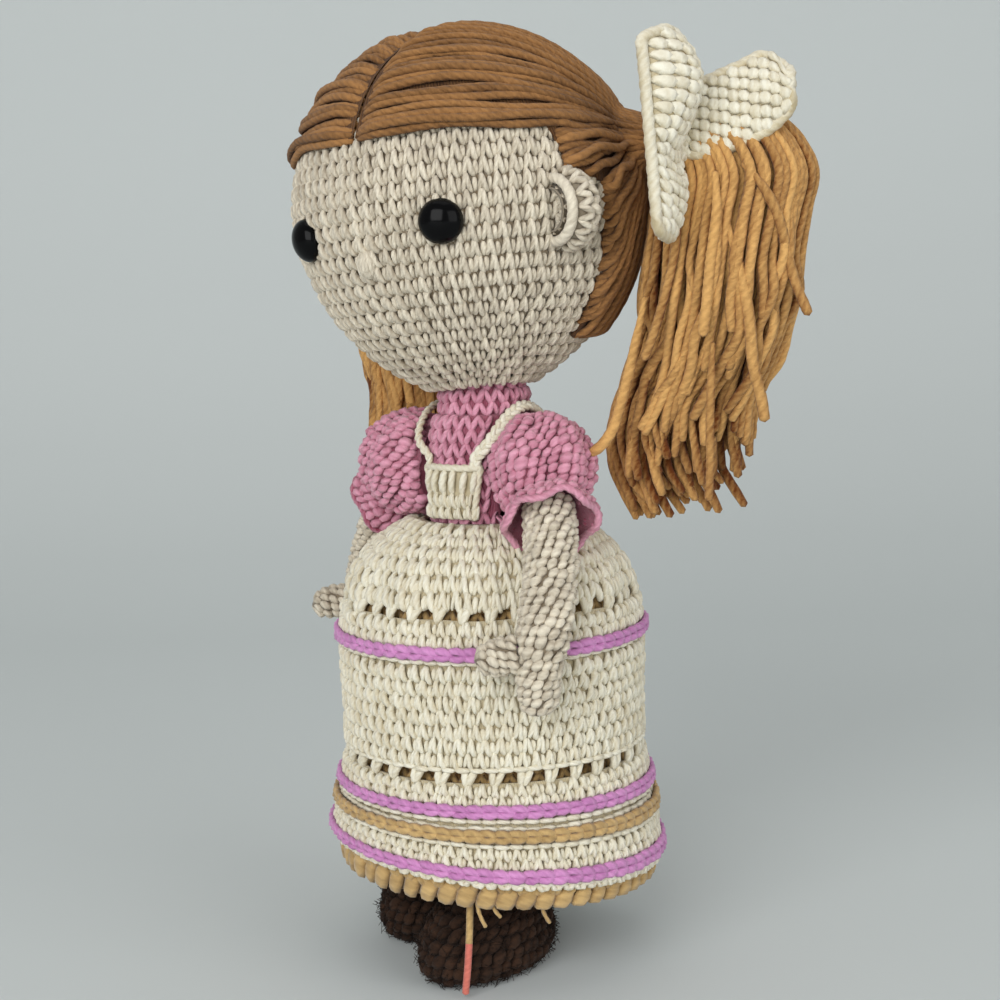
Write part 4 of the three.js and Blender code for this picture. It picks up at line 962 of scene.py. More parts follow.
# %% Pigtails and their ties
STRAYS = {  # a few ends that were cut short or came loose, as places in the bunch's frame
    "left": [
        [(30, -16, -12), (36, -17, -20), (39.5, -14, -30), (40.8, -11, -41), (42.4, -9, -50),
         (45.4, -8, -59.5)],
        [(24, -18, -30), (27, -17, -46), (28, -15, -60), (27.6, -12, -74), (28.7, -9, -84),
         (29, -7, -91.5)],
        [(-4, -16, -50), (-9, -16, -66), (-14.5, -15, -81), (-19, -14, -91), (-23, -14, -95.5),
         (-26.6, -13, -97.6)],
        [(16, -15, -66), (14, -14, -80), (12.2, -12, -93.5), (11.2, -10, -103),
         (9.2, -8, -115.5)],
        [(22, -20, -14), (21.5, -20.5, -26), (18.6, -21, -40), (16.4, -21, -52), (14, -20, -63)],
        [(9, -19, -18), (8, -20, -34), (3, -20, -50), (-2, -19, -62), (-5.6, -18, -69)],
    ],
    "right": [
        [(4, 2, -60), (0, 6, -74), (-6, 10, -88), (-10, 14, -97)],
    ],
}
TIE_SEAT, TIE_YARN = 10.1, 1.8
RINGS_OF_HAIR = ((0.95, 58), (0.76, 42), (0.5, 26), (0.2, 8))  # share out from the middle, strands
for name, side in (("left", 1), ("right", -1)):
    bunch = Fabric(20 + side)
    lines = []
    for out, count in RINGS_OF_HAIR:
        for k in range(count):
            turn = 2 * math.pi * (k + 0.5 * (out < 0.8)) / count + bunch.random.normal(0, 0.04)
            share = out + bunch.random.normal(0, 0.02)
            lines.append(hanging_strand(name, share, turn, bunch.random))
    lines += [line_through(stray, STRAND_POINTS) for stray in STRAYS[name]]
    paths = in_bunch(np.array(lines), side)
    middle = in_bunch(np.array([26.0, 0, -30]), side)
    swell = np.interp(np.linspace(0, 1, STRAND_POINTS), [0, 0.08, 0.25, 0.97, 1],
                      [0.6, 0.66, 1, 1, 0.86])
    count = len(paths)
    swell = swell * bunch.random.normal(1, 0.07, (count, 1))
    swell = swell * bunch.random.normal(1, 0.03, paths.shape[:2])
    bunch.rods(paths, 1.62 * swell, 1.5 * swell, unit(paths - middle), sides=8,
               start=bunch.random.uniform(0, 9, (count, 1)))
    bunch.piece(f"{name}_pigtail_strands", f"{name}_bunch", HONEY, "honey", f"{name}_pigtail")
    tie = Fabric(22 + side)
    around = np.linspace(0, 2 * np.pi, 72)
    for at, lean in ((0.9, 0.5), (2.9, -0.4)):
        ring = np.stack([at + lean * np.sin(around), TIE_SEAT * np.cos(around),
                         TIE_SEAT * np.sin(around)], 1)
        tie.rods(in_bunch(ring, side)[None], 1.25, 1.25, outward * [side, 1, 1], plies=2, lay=5)
    tie.piece(f"{name}_hair_tie_yarn", f"{name}_bunch", HONEY, "honey", f"{name}_hair_tie")
    print(name, "pigtail:", count, "strands")

# %% [markdown]
# ## Bows
# A crocheted ribbon is folded into loops and tied round each bunch with a knot. The front loop
# stands upright and is seen almost edge on; the rear one lies over the top of the bunch. A
# ribbon has two faces, so the same rule is used twice, once for each face, with its rim between.

# %% The loops as rules
RIBBON = 3
KNOT_RADIUS, KNOT_HEIGHT, KNOT_STEP = 5, 15, 3.5
HOLLOW = [(0, 0.05), (0.2, 0.35), (0.4, 0.15), (0.55, 0.6), (0.75, 1), (0.9, 0.85), (1, 0.5)]
FRONT_LOOP = {"length": 24, "height": 62, "drop": 0.49, "lift": 0, "tilt": 0,
              "spread": [(0, 0.4), (0.3, 0.85), (0.65, 1), (1, 0.9)],
              "bulge": lambda u, v: 12 * smooth_at(HOLLOW, v) * np.sin(np.pi * np.clip(u, 0, 1))}
REAR_LOOP = {"length": 38, "height": 25, "drop": 0.25, "lift": 10, "tilt": -15,
             "spread": [(0, 0.4), (0.2, 0.85), (0.6, 1), (0.9, 0.9), (1, 0.5)],
             "bulge": lambda u, v: -RIBBON * np.sin(np.pi * v) * u}
YAWS = {"left": (-95, 4), "right": (-95, -4)}
KNOT_AT = (outward * (2 * TIE_YARN + TOUCH + KNOT_STEP)
           - backward * (TIE_SEAT + TIE_YARN / 2 + KNOT_RADIUS) - [0, 0, TIE_SEAT / 4])
print("a knot stands", np.round(KNOT_AT, 1), "mm from its tie")


def bow_place(points, side):
    """From the bow's own frame into place. The right bow has slipped round to the back."""
    if side < 0:
        points = points - 2 * (points @ backward)[..., None] * backward
    return on_neck((points + TIE_POINT) * [side, 1, 1])


class Loop:
    """A share up the ribbon, from 0 to 1, and a way out from the knot. Face is 1 or -1."""

    def __init__(self, kind, yaw, side, face):
        self.kind, self.side, self.face, self.length = kind, side, face, kind["length"]
        out_yaw = math.degrees(math.atan2(outward[1], outward[0]))
        self.turned = turned_about((0, 0, 1), out_yaw + yaw) @ turned_about((1, 0, 0), kind["tilt"])

    def spread(self, way):
        return self.kind["height"] * smooth_at(self.kind["spread"], np.clip(way / self.length, 0, 1))

    def __call__(self, share, way, lift):
        share, way, lift = np.broadcast_arrays(share, way, lift)
        v = share if self.face > 0 else 1 - share
        u = np.clip(way / self.length, -0.05, 1.05)
        z = self.spread(way) * (v - self.kind["drop"]) + self.kind["lift"] * u * u
        y = self.kind["bulge"](u, np.clip(v, 0, 1)) + self.face * lift
        y = y + (RIBBON if self.face > 0 else 0)
        points = np.stack([self.length * u, y, z], -1) @ self.turned.T
        return bow_place(points + KNOT_AT, self.side)


# %% Bow loops and knots
BOW_ROW, BOW_PITCH = 3.2, 3.9
KNOT_SHAPE = [(0, 0.6), (0.05, 0.75 * KNOT_RADIUS), (0.2, KNOT_RADIUS), (0.8, KNOT_RADIUS),
              (0.95, 0.75 * KNOT_RADIUS), (1, 0.6)]
for name, side in (("left", 1), ("right", -1)):
    for word, kind, yaw in zip(("front", "rear"), (FRONT_LOOP, REAR_LOOP), YAWS[name]):
        faces = [Loop(kind, yaw, side, face) for face in (1, -1)]
        cloth, stitches = Fabric(30), Fabric(31 + side)
        share = np.linspace(0.02, 0.98, 16)[None]
        way = np.linspace(0, kind["length"] - 1, 16)[:, None]
        front = faces[0](share, way, -0.7)
        cloth.slab(front, faces[1](1 - share, way, -0.7))
        spreads = smooth_at(kind["spread"], np.linspace(0, 1, 30))
        cloth = cloth.piece(f"{name}_bow_{word}_cloth", f"{name}_bunch", CREAM, "cream",
                            f"{name}_bow_{word}")
        for loop in faces:
            for row in range(round((kind["length"] - 1) / BOW_ROW)):
                start = 0.3 + BOW_ROW * row
                spread = float(loop.spread(start + 1.8))
                n = max(round(spread / BOW_PITCH), 2)
                at = (np.arange(n) + 0.35 + 0.4 * (row % 2)) / (n + 0.1)
                crochet(stitches, loop, LUMP, at, np.full(n, start), spread / n, 3.7,
                        np.full(n, 1 / spread), lift=-0.5, lean=0.15)
        ways = np.concatenate([np.linspace(2, kind["length"], 16),
                               np.full(20, kind["length"] + 0.6),
                               np.linspace(kind["length"], 2, 16)])
        shares = np.concatenate([np.zeros(16), np.linspace(0, 1, 20), np.ones(16)])
        rim = line_through((faces[0](shares, ways, -RIBBON / 2))[::3], 110)
        stitches.rods(rim[None], 1.9, 1.75, [0, 0, 1], sides=12, plies=3, lay=4.2, ridge=0.1)
        stitches = stitches.piece(f"{name}_bow_{word}_stitches", f"{name}_bunch", CREAM, "cream")
    knot = Fabric(40)
    ends = [bow_place(KNOT_AT + np.array([0, 0, z]), side)
            for z in np.linspace(-0.5, 0.5, 5) * KNOT_HEIGHT]
    wound = Limb(ends, KNOT_SHAPE)
    backing(knot, wound, 0, wound.length, columns=20, rows=14)
    rounds(knot, wound, 0.4, wound.length - 0.6, height=3.4, width=4, lift=-0.5)
    knot.piece(f"{name}_bow_knot_wraps", f"{name}_bunch", CREAM, "cream", f"{name}_bow_knot")

# %% [markdown]
# ## Forms that aren't round
# Puffed sleeves, ruffles and shoes aren't turned shapes. For them a rule gives the bare surface,
# and this class finds the direction straight out of it and the length round it by small steps.


# %% A shell round any rule
class Shell:
    """rule(turn, share) gives a surface point, with the share from 0 to 1 along it."""

    def __init__(self, rule, even=False):
        self.rule = rule
        turns, shares = np.linspace(-np.pi, np.pi, 97), np.linspace(0, 1, 41)
        grid = rule(turns[None], shares[:, None])
        steps = np.linalg.norm(np.diff(grid, axis=0), axis=2).mean(axis=1)
        self.ways = np.concatenate([[0], np.cumsum(steps)])
        self.length, self.shares = self.ways[-1], shares
        pitch = np.linalg.norm(np.diff(grid, axis=1), axis=2)
        self.round_it = pitch.sum(axis=1) / (2 * np.pi)
        arc = np.concatenate([[0], np.cumsum(pitch[len(shares) // 3])])
        self.turns = np.interp(np.linspace(0, arc[-1], 97), arc, turns) if even else turns
        self.even = turns

    def radius(self, way):
        return np.interp(way, self.ways, self.round_it)

    def __call__(self, turn, way, lift):
        turn, way, lift = np.broadcast_arrays(turn, way, lift)
        turn = (turn + np.pi) % (2 * np.pi) - np.pi
        turn = np.interp(turn, self.even, self.turns)
        share = np.interp(way, self.ways, self.shares)
        step = 0.01
        middle = self.rule(turn, share)
        over = self.rule(turn + step, share) - self.rule(turn - step, share)
        ahead, behind = np.minimum(share + step, 1), np.maximum(share - step, 0)
        along = self.rule(turn, ahead) - self.rule(turn, behind)
        return middle + unit(np.cross(over, along)) * lift[..., None]


def sided(form, side):
    """The same form on the doll's other side, with its stitches still the right way round."""
    if side > 0:
        return form

    def other(turn, way, lift):
        return form(-turn, way, lift) * [-1, 1, 1]

    other.radius, other.length = form.radius, form.length
    return other


# %% [markdown]
# ## Neck and body
# Both are stuffed. The neck ball sits in the open top of the body, and the head turns on it. The
# body's armholes and hip sockets are where the sleeves and legs fit, so the fabric stops there.

# %% The neck ball
NECK_RADIUS = 15
tilt = np.linspace(-0.85, 1.35, 30)
neck_form = Turned(NECK_RADIUS * np.cos(tilt), NECK[2] + NECK_RADIUS * np.sin(tilt))
neck = Fabric(50)
backing(neck, neck_form, 0, neck_form.length, lift=-0.9, columns=48, rows=14)
rounds(neck, neck_form, 0.5, neck_form.length - 0.5, lift=-0.8)
neck = neck.piece("neck_knit", "neck_ball", PINK, "pink", "neck")

# %% The body
CHEST_RADIUS, BODY_LOW, SHOULDER = 18.6, 110, 184.5
HIP, THIGH = np.array([13, 0, 104.0]), 12
PIVOT = np.array([26, -6, 167.0])
SLEEVE_RADIUS = 17.3
BODY = [(0, 0.9), (0.06, 1.22), (0.16, 1.34), (0.35, 1.15), (0.52, 0.98), (0.68, 1), (0.88, 0.99),
        (0.95, 0.94), (1, 0.84)]
ARMHOLE_FLAT = 12.6


def fitted(points):
    """Keeps the body out of its hip sockets and flat at its armholes."""
    x, y, z = np.moveaxis(points, -1, 0)
    socket = HIP[2] + np.sqrt(np.clip((THIGH + 0.6) ** 2 - y**2, 0, None))
    z = np.where(np.abs(y) < THIGH + 0.6, np.maximum(z, socket), z)
    in_hole = (y - PIVOT[1]) ** 2 + (z - PIVOT[2]) ** 2 < (SLEEVE_RADIUS + 0.5) ** 2
    x = np.where(in_hole, np.clip(x, -ARMHOLE_FLAT, ARMHOLE_FLAT), x)
    return np.stack([x, y, z], -1)


body_heights = np.linspace(BODY_LOW, SHOULDER, 80)
body_radii = CHEST_RADIUS * smooth_at(BODY, (body_heights - BODY_LOW) / (SHOULDER - BODY_LOW))
body_form = Turned(body_radii, body_heights, fitted)


def clear_of_holes(turns, way):
    radius, height = body_form.radius(way), np.interp(way, body_form.way, body_form.z)
    x, y = radius * np.sin(turns), -radius * np.cos(turns)
    near = (y - PIVOT[1]) ** 2 + (height - PIVOT[2]) ** 2 < SLEEVE_RADIUS**2
    in_hole = near & (np.abs(x) > 12)
    return ~in_hole & ((height > 119) | (np.abs(y) > THIGH + 2))


body = Fabric(51)
backing(body, body_form, 0, body_form.length, lift=-0.7, columns=64, rows=40)
count = rounds(body, body_form, 1, body_form.length - 0.5, keep=clear_of_holes, lift=-0.4)
body = body.piece("body_knit", "torso", PINK, "pink", "body_skin")
print("the body shows", count, "stitches")

# %% [markdown]
# ## Wadding
# The head and the body are filled with polyester wadding. It isn't seen, but it is a real piece
# with a real weight, so it gets a soft lumpy form of its own inside each skin.


# %% Lumps of wadding
def lumpy(fabric, form, start, end, inside, size, columns=48, rows=36):
    """A closed lumpy body inside a form, with a flat end over each opening."""
    turns = np.linspace(-np.pi, np.pi, columns, endpoint=False)[None]
    ways = np.linspace(start, end, rows)[:, None]
    lumps = sum(np.sin(k * turns + fabric.random.uniform(0, 6)) * np.sin(ways / (13 - 2 * k) + k)
                for k in (2, 3, 4))
    swell = size * lumps * np.sin(np.pi * (ways - start) / (end - start))
    fabric.sheet(form(turns, ways, -inside + swell), back=False, deep=1)
    ends = form(turns, ways[[0, -1]], -inside)
    for ring, flip in ((ends[0], 1), (ends[1], -1)):
        middle = ring.mean(axis=0)
        cap = np.stack([ring, ring * 0.5 + middle * 0.5, ring * 0.02 + middle * 0.98])
        fabric.sheet(cap[:, ::-flip] if flip > 0 else cap, back=False, deep=1)


stuffing = Fabric(52)
lumpy(stuffing, head_form, 22, head_form.length - 14, 4.6, 0.35)
stuffing = stuffing.piece("head_stuffing", "head", WADDING, "wadding", "head_wadding")
filling_form = Turned(np.minimum(body_form.radius(body_form.way), 13.8), body_form.z)
filling = Fabric(53)
lumpy(filling, filling_form, filling_form.way_at(124), filling_form.way_at(171), 4.2, 0.2,
      rows=20)
filling = filling.piece("body_stuffing", "torso", WADDING, "wadding", "body_wadding")

# %% [markdown]
# ## Sleeves
# Each puffed sleeve is gathered above and below, which throws it into folds. The folds are
# valleys pressed into a ball, deep in the middle and gone at both poles, with one deeper than the
# rest where the light catches it. Above the elbow a ruffle follows, which waves as it flares.

# %% The puff's rule
FOLDS = [  # turn, depth and width of each valley
    (-0.1, 4.2, 0.3), (1.0, 2.0, 0.28), (1.9, 2.4, 0.25), (2.8, 1.6, 0.3), (-1.1, 2.2, 0.25),
    (-2.0, 1.6, 0.3), (-2.7, 2.2, 0.24),
]
ARMHOLE_OUT = 13.5


def frame_along(axis):
    axis = unit(np.asarray(axis, float))
    over = unit(np.cross([0, 1, 0], axis))
    return over, np.cross(axis, over), axis


PUFF_FRAME = frame_along((0.35, -0.3, -1))


def puff_rule(view_turn):
    """The sleeve as a rule. Its deepest valley faces the turn that it is given."""
    over, beside, axis = PUFF_FRAME

    def rule(turn, share):
        turn, share = np.broadcast_arrays(turn, share)
        angle = np.pi * (0.02 + 0.96 * share)
        belly = np.sin(angle) ** 1.3
        fold = 0
        for at, depth, wide in FOLDS:
            past = (turn - view_turn - at + np.pi) % (2 * np.pi) - np.pi
            fold = fold + depth * np.exp(-((past / wide) ** 2))
        reach = SLEEVE_RADIUS + 0.9 * belly - belly * fold
        ring = np.cos(turn)[..., None] * over + np.sin(turn)[..., None] * beside
        out = np.sin(angle)[..., None] * ring - np.cos(angle)[..., None] * axis
        points = PIVOT + reach[..., None] * out
        points[..., 0] = np.maximum(points[..., 0], ARMHOLE_OUT + 0.8)
        return points

    return rule


print("a sleeve has", len(FOLDS), "folds")

# %% Sleeves in rounds of small loops
for name, side in (("left", 1), ("right", -1)):
    seen = towards * [side, 1, 1]
    puff = Shell(puff_rule(math.atan2(seen @ PUFF_FRAME[1], seen @ PUFF_FRAME[0])))
    form = sided(puff, side)
    sleeve = Fabric(60 + side)
    backing(sleeve, form, 1, puff.length - 1, lift=-0.8, columns=96, rows=32)

    def off_the_body(turns, way):
        places = puff(turns if side > 0 else -turns, way, 0.0)
        return places[..., 0] > ARMHOLE_OUT + 2.2

    count = rounds(sleeve, form, 1.5, puff.length - 2, 3.6, 3.2, LUMP, off_the_body, 0.45,
                   lift=-0.5, loose=2.5)
    sleeve.piece(f"{name}_sleeve_knit", f"{name}_puff", PINK, "pink", f"{name}_sleeve")
    print(name, "sleeve:", count, "stitches")

# %% [markdown]
# ## Bodice
# The blouse goes on between the sleeves. At each armhole a short thick ring of the same pink
# fills the step from the body out to the sleeve, so no gap opens when an arm swings.

# %% The bodice at each armhole
for name, side in (("left", 1), ("right", -1)):
    places = [np.array([side * x, -2.0, PIVOT[2]]) for x in (3, 8, ARMHOLE_OUT + 0.3)]
    armhole = Limb(places, [(0, 12), (0.7, 12.4), (0.9, 11.4), (1, 9)])
    bodice = Fabric(66 + side)
    backing(bodice, armhole, 0, armhole.length, columns=40, rows=8, depth=8)
    rounds(bodice, armhole, 0.5, armhole.length - 0.5, width=3.6, height=3.2, stitch=LUMP,
           lift=-0.6)
    bodice.piece(f"{name}_armhole_knit", "torso", PINK, "pink")

# %% [markdown]
# ## Arms, thumbs and ruffles
# The arms are stuffed tubes that hang over the skirt, each with a thumb sewn to its side. They
# are worked tightly, so only the ends of the loops show, and not the two legs of each stitch.

# %% Arms and thumbs
ARM_REACH = 73
ARMS = {  # places from the shoulder to the hand, in shares of the reach
    "left": [(0, 0, 0), (0.09, -0.09, -0.1), (0.165, -0.18, -0.2), (0.238, -0.29, -0.35),
             (0.28, -0.385, -0.527), (0.295, -0.455, -0.69), (0.285, -0.475, -0.84),
             (0.275, -0.475, -1)],
    "right": [(0, 0, 0), (0.125, 0.07, -0.1), (0.24, 0.15, -0.2), (0.36, 0.19, -0.35),
              (0.45, 0.215, -0.527), (0.495, 0.225, -0.69), (0.5, 0.24, -0.84), (0.49, 0.24, -1)],
}
ARM_RADIUS = 7.6
ARM = [(share, ARM_RADIUS * part) for share, part in
       ((0, 1), (0.6, 1), (0.72, 0.98), (0.8, 0.84), (0.9, 0.78), (0.96, 0.62), (0.99, 0.36),
        (1, 0.1))]
THUMB = [(0, 5), (0.7, 5), (0.9, 3.75), (1, 1)]
THUMB_AIM, THUMB_LENGTH = unit(np.array([-0.8, -0.58, -0.16])), 21
arm_forms = {}
for name, side in (("left", 1), ("right", -1)):
    shoulder = PIVOT * [side, 1, 1]
    reach = ARM_REACH * np.array([side, 1, 1])
    form = Limb([shoulder + np.array(place) * reach for place in ARMS[name]], ARM)
    arm_forms[name] = form
    arm = Fabric(70 + side)
    backing(arm, form, SLEEVE_RADIUS + 0.5, form.length - 0.3, columns=32, rows=30)
    rounds(arm, form, SLEEVE_RADIUS + 0.8, form.length - 1.2, width=3.3, height=2.9, stitch=LUMP,
           lift=-0.5, loose=2.5)
    arm = arm.piece(f"{name}_arm_knit", f"{name}_hand", BEIGE, "beige", f"{name}_arm")
    wrist = np.array([np.interp(0.76 * form.length, form.way, form.line[:, k]) for k in range(3)])
    thumb_form = Limb([wrist + THUMB_AIM * THUMB_LENGTH * s for s in (0, 0.5, 1)], THUMB)
    thumb = Fabric(72 + side)
    backing(thumb, thumb_form, ARM_RADIUS, thumb_form.length - 0.3, columns=24, rows=12, depth=1)
    rounds(thumb, thumb_form, ARM_RADIUS + 0.1, thumb_form.length - 0.8, width=3.2, height=2.9,
           stitch=LUMP, lift=-0.6, loose=2.5)
    thumb = thumb.piece(f"{name}_thumb_knit", f"{name}_hand", BEIGE, "beige", f"{name}_thumb")

# %% Ruffles
CUFF = np.array([(8.9, 15.6), (10.2, 17.2), (12.3, 19.6), (14.3, 22.2), (15.4, 24.6)])
for name, side in (("left", 1), ("right", -1)):
    form = arm_forms[name]
    aim = unit(np.array([np.interp(0.24 * form.length, form.way, form.line[:, k]) for k in range(3)])
               - PIVOT * [side, 1, 1])
    over, beside, axis = frame_along(aim)

    def ruffle_rule(turn, share, shoulder=PIVOT * [side, 1, 1], over=over, beside=beside, axis=axis):
        turn, share = np.broadcast_arrays(turn, share)
        reach, along = (np.interp(share, np.linspace(0, 1, 5), CUFF[:, k]) for k in (0, 1))
        wave = np.cos(6 * turn + 0.5) + 0.35 * np.cos(4 * turn + 2)
        along, reach = along + 1.3 * share * wave, reach + 0.6 * share * np.sin(6 * turn + 0.5)
        ring = np.cos(turn)[..., None] * over + np.sin(turn)[..., None] * beside
        return shoulder + reach[..., None] * ring + along[..., None] * axis

    ruffle = Shell(ruffle_rule)
    cuff = Fabric(80 + side)
    backing(cuff, ruffle, 0, ruffle.length, lift=-0.5, depth=1.2, columns=96, rows=8)
    rounds(cuff, ruffle, 0.2, ruffle.length - 0.4, width=3.5, height=3.1, stitch=LUMP, lift=-0.6,
           loose=2)
    cuff_edge = ruffle(np.linspace(-np.pi, np.pi, 120), ruffle.length, -1.0)
    cuff.rods(cuff_edge[None], 1.2, 1.2, axis, sides=8, plies=3, lay=3.4, ridge=0.2)
    cuff.piece(f"{name}_cuff_ruffle", f"{name}_hand", PINK, "pink", f"{name}_cuff")

# %% [markdown]
# ## Pinafore skirt
# The skirt is one bell worked downwards: rows of single crochet, gathered a little under the
# waist, two open rows that show the lining, and bands of coloured chain. Its rows are a table of
# heights, so that one can be moved or changed without touching the rest.

# %% The bell's rule
SKIRT_RADIUS, SKIRT_TOP, SKIRT_HEM, HEM_RADIUS = 50, 150, 37.5, 54.6
MIDDLE_BAND, UPPER_BAND, TAN_BAND, LOWER_BAND, LINING_HEM = 112, 61.5, 54, 42, 30
GATHERS, GATHER_DEPTH, HEM_DIP = 12, 1.5, 6
BELL = [(0, HEM_RADIUS / SKIRT_RADIUS), (0.05, 1.085), (0.14, 1.055), (0.22, 1.02), (0.34, 0.99),
        (0.66, 1), (0.745, 0.97), (0.83, 0.9), (0.9, 0.8), (0.945, 0.68), (0.98, 0.54), (1, 0.42)]
dip_aim = unit(np.array([0.81, 0.58]))
dip_top = (MIDDLE_BAND + UPPER_BAND) / 2


def hang(points):
    """Throws the bell into gathers above its middle band and lets its hem dip to one side."""
    x, y, z = np.moveaxis(points, -1, 0)
    radius = np.maximum(np.hypot(x, y), 1e-6)
    up = np.clip((z - MIDDLE_BAND) / (SKIRT_TOP - 2.6 - MIDDLE_BAND), 0, 1)
    up = up * up * (3 - 2 * up)
    below = np.clip((SKIRT_HEM - z) / (SKIRT_HEM - LINING_HEM), 0, 1)
    down = np.clip((dip_top - z) / (dip_top - SKIRT_HEM), 0, 1) ** 2 * (1 - below / 3)
    fold = 1 + GATHER_DEPTH * up * (1 - up) * 4 * np.cos(GATHERS * np.arctan2(y, x)) / radius
    dipped = z - HEM_DIP * down * (x * dip_aim[0] + y * dip_aim[1]) / HEM_RADIUS
    return np.stack([x * fold, y * fold, dipped], -1)


bell_heights = np.linspace(SKIRT_HEM, SKIRT_TOP, 160)
bell_radii = SKIRT_RADIUS * smooth_at(BELL, (bell_heights - SKIRT_HEM) / (SKIRT_TOP - SKIRT_HEM))
bell = Turned(bell_radii, bell_heights, hang)
at_height = bell.way_at
print("round the hem:", round(2 * math.pi * HEM_RADIUS), "mm, down the bell:", round(bell.length),
      "mm")

# %% The rows of the skirt
OPEN_ROWS = [(70.2, 73.6), (122.4, 125.8)]
SKIRT_ROWS = [  # from, to, rows, stitch, pitch
    (37.4, 40.4, 1, VEE, 4.2), (43.9, 50.3, 2, TIGHT, 4.2), (56.0, 57.8, 1, DASH, 4.7),
    (63.4, 69.8, 2, TIGHT, 4.2), (75.6, 108, 7, TIGHT, 4.4), (114, 121.8, 2, TIGHT, 4.2),
    (126, 148.8, 6, TIGHT, 4.4),
]
RIDGES = ((109.2, 4.6), (74.6, 4.6), (58.4, 4.6), (50.9, 4.6), (39.6, 4.7))  # height, pitch
skirt = Fabric(90)
(lower_low, lower_high), (upper_low, upper_high) = OPEN_ROWS
for low, high in ((SKIRT_HEM, lower_low), (lower_high, upper_low), (upper_high, SKIRT_TOP - 0.3)):
    backing(skirt, bell, at_height(low) + 0.3, at_height(high), lift=-0.7, columns=144, rows=24)
made = 0
for low, high, count, stitch, pitch in SKIRT_ROWS:
    start, end = at_height(low), at_height(high)
    made += rounds(skirt, bell, start, end, width=pitch, height=(end - start) / count,
                   stitch=stitch, lift=-0.3, plump=1.08, loose=2.2)
for low, high in OPEN_ROWS:
    n = round(2 * math.pi * SKIRT_RADIUS / 9)
    turns = (np.arange(n) + 0.5) / n * 2 * np.pi
    for lean in (-0.25, 0.25):
        crochet(skirt, bell, POST[:1], turns + lean * 0.03, np.full(n, at_height(low) - 0.6), 4,
                high - low + 1.4, np.full(n, 1 / SKIRT_RADIUS), lift=-0.7, lean=lean)
for height, pitch in RIDGES:
    n = round(2 * math.pi * float(bell.radius(at_height(height))) / pitch)
    crochet(skirt, bell, DASH, (np.arange(n) + 0.5) / n * 2 * np.pi, np.full(n, at_height(height)),
            pitch, 1.6, np.full(n, 2 * np.pi / n / pitch), lift=0.5)
skirt = skirt.piece("skirt_crochet", "torso", CREAM, "cream", "skirt")
print("the skirt has", made, "stitches in its rows")

# %% Bands of coloured chain
LINK = 4.6
BANDS = [
    ("middle_band", MIDDLE_BAND, ORCHID, "orchid"), ("upper_band", UPPER_BAND, ORCHID, "orchid"),
    ("tan_band", TAN_BAND, TAN, "tan"), ("lower_band", LOWER_BAND, ORCHID, "orchid"),
]
for name, height, finish, slot in BANDS:
    chain = Fabric(95)
    way = at_height(height)
    n = round(2 * math.pi * float(bell.radius(way)) / LINK)
    pitch = 2 * math.pi * float(bell.radius(way)) / n
    crochet(chain, bell, CHAIN, (np.arange(n) + 0.5) / n * 2 * np.pi, np.full(n, way),
            pitch * 1.15, 3.5, np.full(n, 2 * np.pi / n / pitch), lift=1.5, plump=0.92)
    chain.piece(f"{name}_chain", "torso", finish, slot, name)
print("a band has", n, "links")

# %% Lining and its scalloped edge
lining_heights = np.linspace(LINING_HEM, 146, 120)
inside = np.interp(lining_heights, bell_heights, bell_radii - 5.4)
inside = np.where(lining_heights < 40, np.maximum(inside, HEM_RADIUS - 2.9), inside)
lining_form = Turned(inside, lining_heights, hang)
lining = Fabric(97)
backing(lining, lining_form, 1.5, lining_form.length, lift=-0.2, depth=1.6, columns=144, rows=60)
lining_cloth = lining.piece("lining_cloth", "torso", TAN, "tan", "lining")
edging = Fabric(98)
for start, height, pitch, stitch in ((0.4, 6.6, 6.2, SLANT), (5.6, 5.2, 5.2, VEE)):
    rounds(edging, lining_form, start, start + height, width=pitch, height=height, stitch=stitch,
           lift=0.1, plump=1.25)
for low, high in OPEN_ROWS:
    rounds(edging, lining_form, lining_form.way_at(low - 2), lining_form.way_at(high + 2),
           width=4.6, height=4, lift=-0.1)
SHORT_ENDS = ((27.5, 8.5), (33, 5), (51, 7))  # degrees round the hem, length of the yarn end
for turn, length in SHORT_ENDS:
    turn, drop = math.radians(turn), np.linspace(0, 1, 8)
    end = lining_form(turn + 0.05 * drop**2, 2.0, -1.2)
    end = end - np.array([0, 0, 1]) * (length * drop)[:, None]
    edging.rods(end[None], 0.65, 0.65, [0.6, -0.8, 0], plies=2, lay=3)
edging = edging.piece("lining_edging", "torso", TAN, "tan")

# %% [markdown]
# ## Bib and straps
# The bib is a small ribbed panel on the chest, and its straps are plaited cords that go over the
# shoulders to the back of the waist.

# %% Bib
BIB_HEIGHT, BIB_TOP, BIB_WAIST, BIB_MEAN = 17, 22.6, 17, 17.3
BIB_REACH = 21.2  # from the doll's axis to the bib
bib_heights = np.linspace(SKIRT_TOP + 0.4, SKIRT_TOP + 0.3 + BIB_HEIGHT, 30)
bib_form = Turned(np.interp(bib_heights, body_form.z, body_form.r) + 2.6, bib_heights)


def half_bib(way):
    """Half the bib's width, as an angle round the doll, at a way up from the waist."""
    return np.interp(way, [0, bib_form.length], [BIB_WAIST / 2, BIB_TOP / 2]) / BIB_REACH


def on_bib(turns, way):
    return np.abs(turns) < half_bib(way)


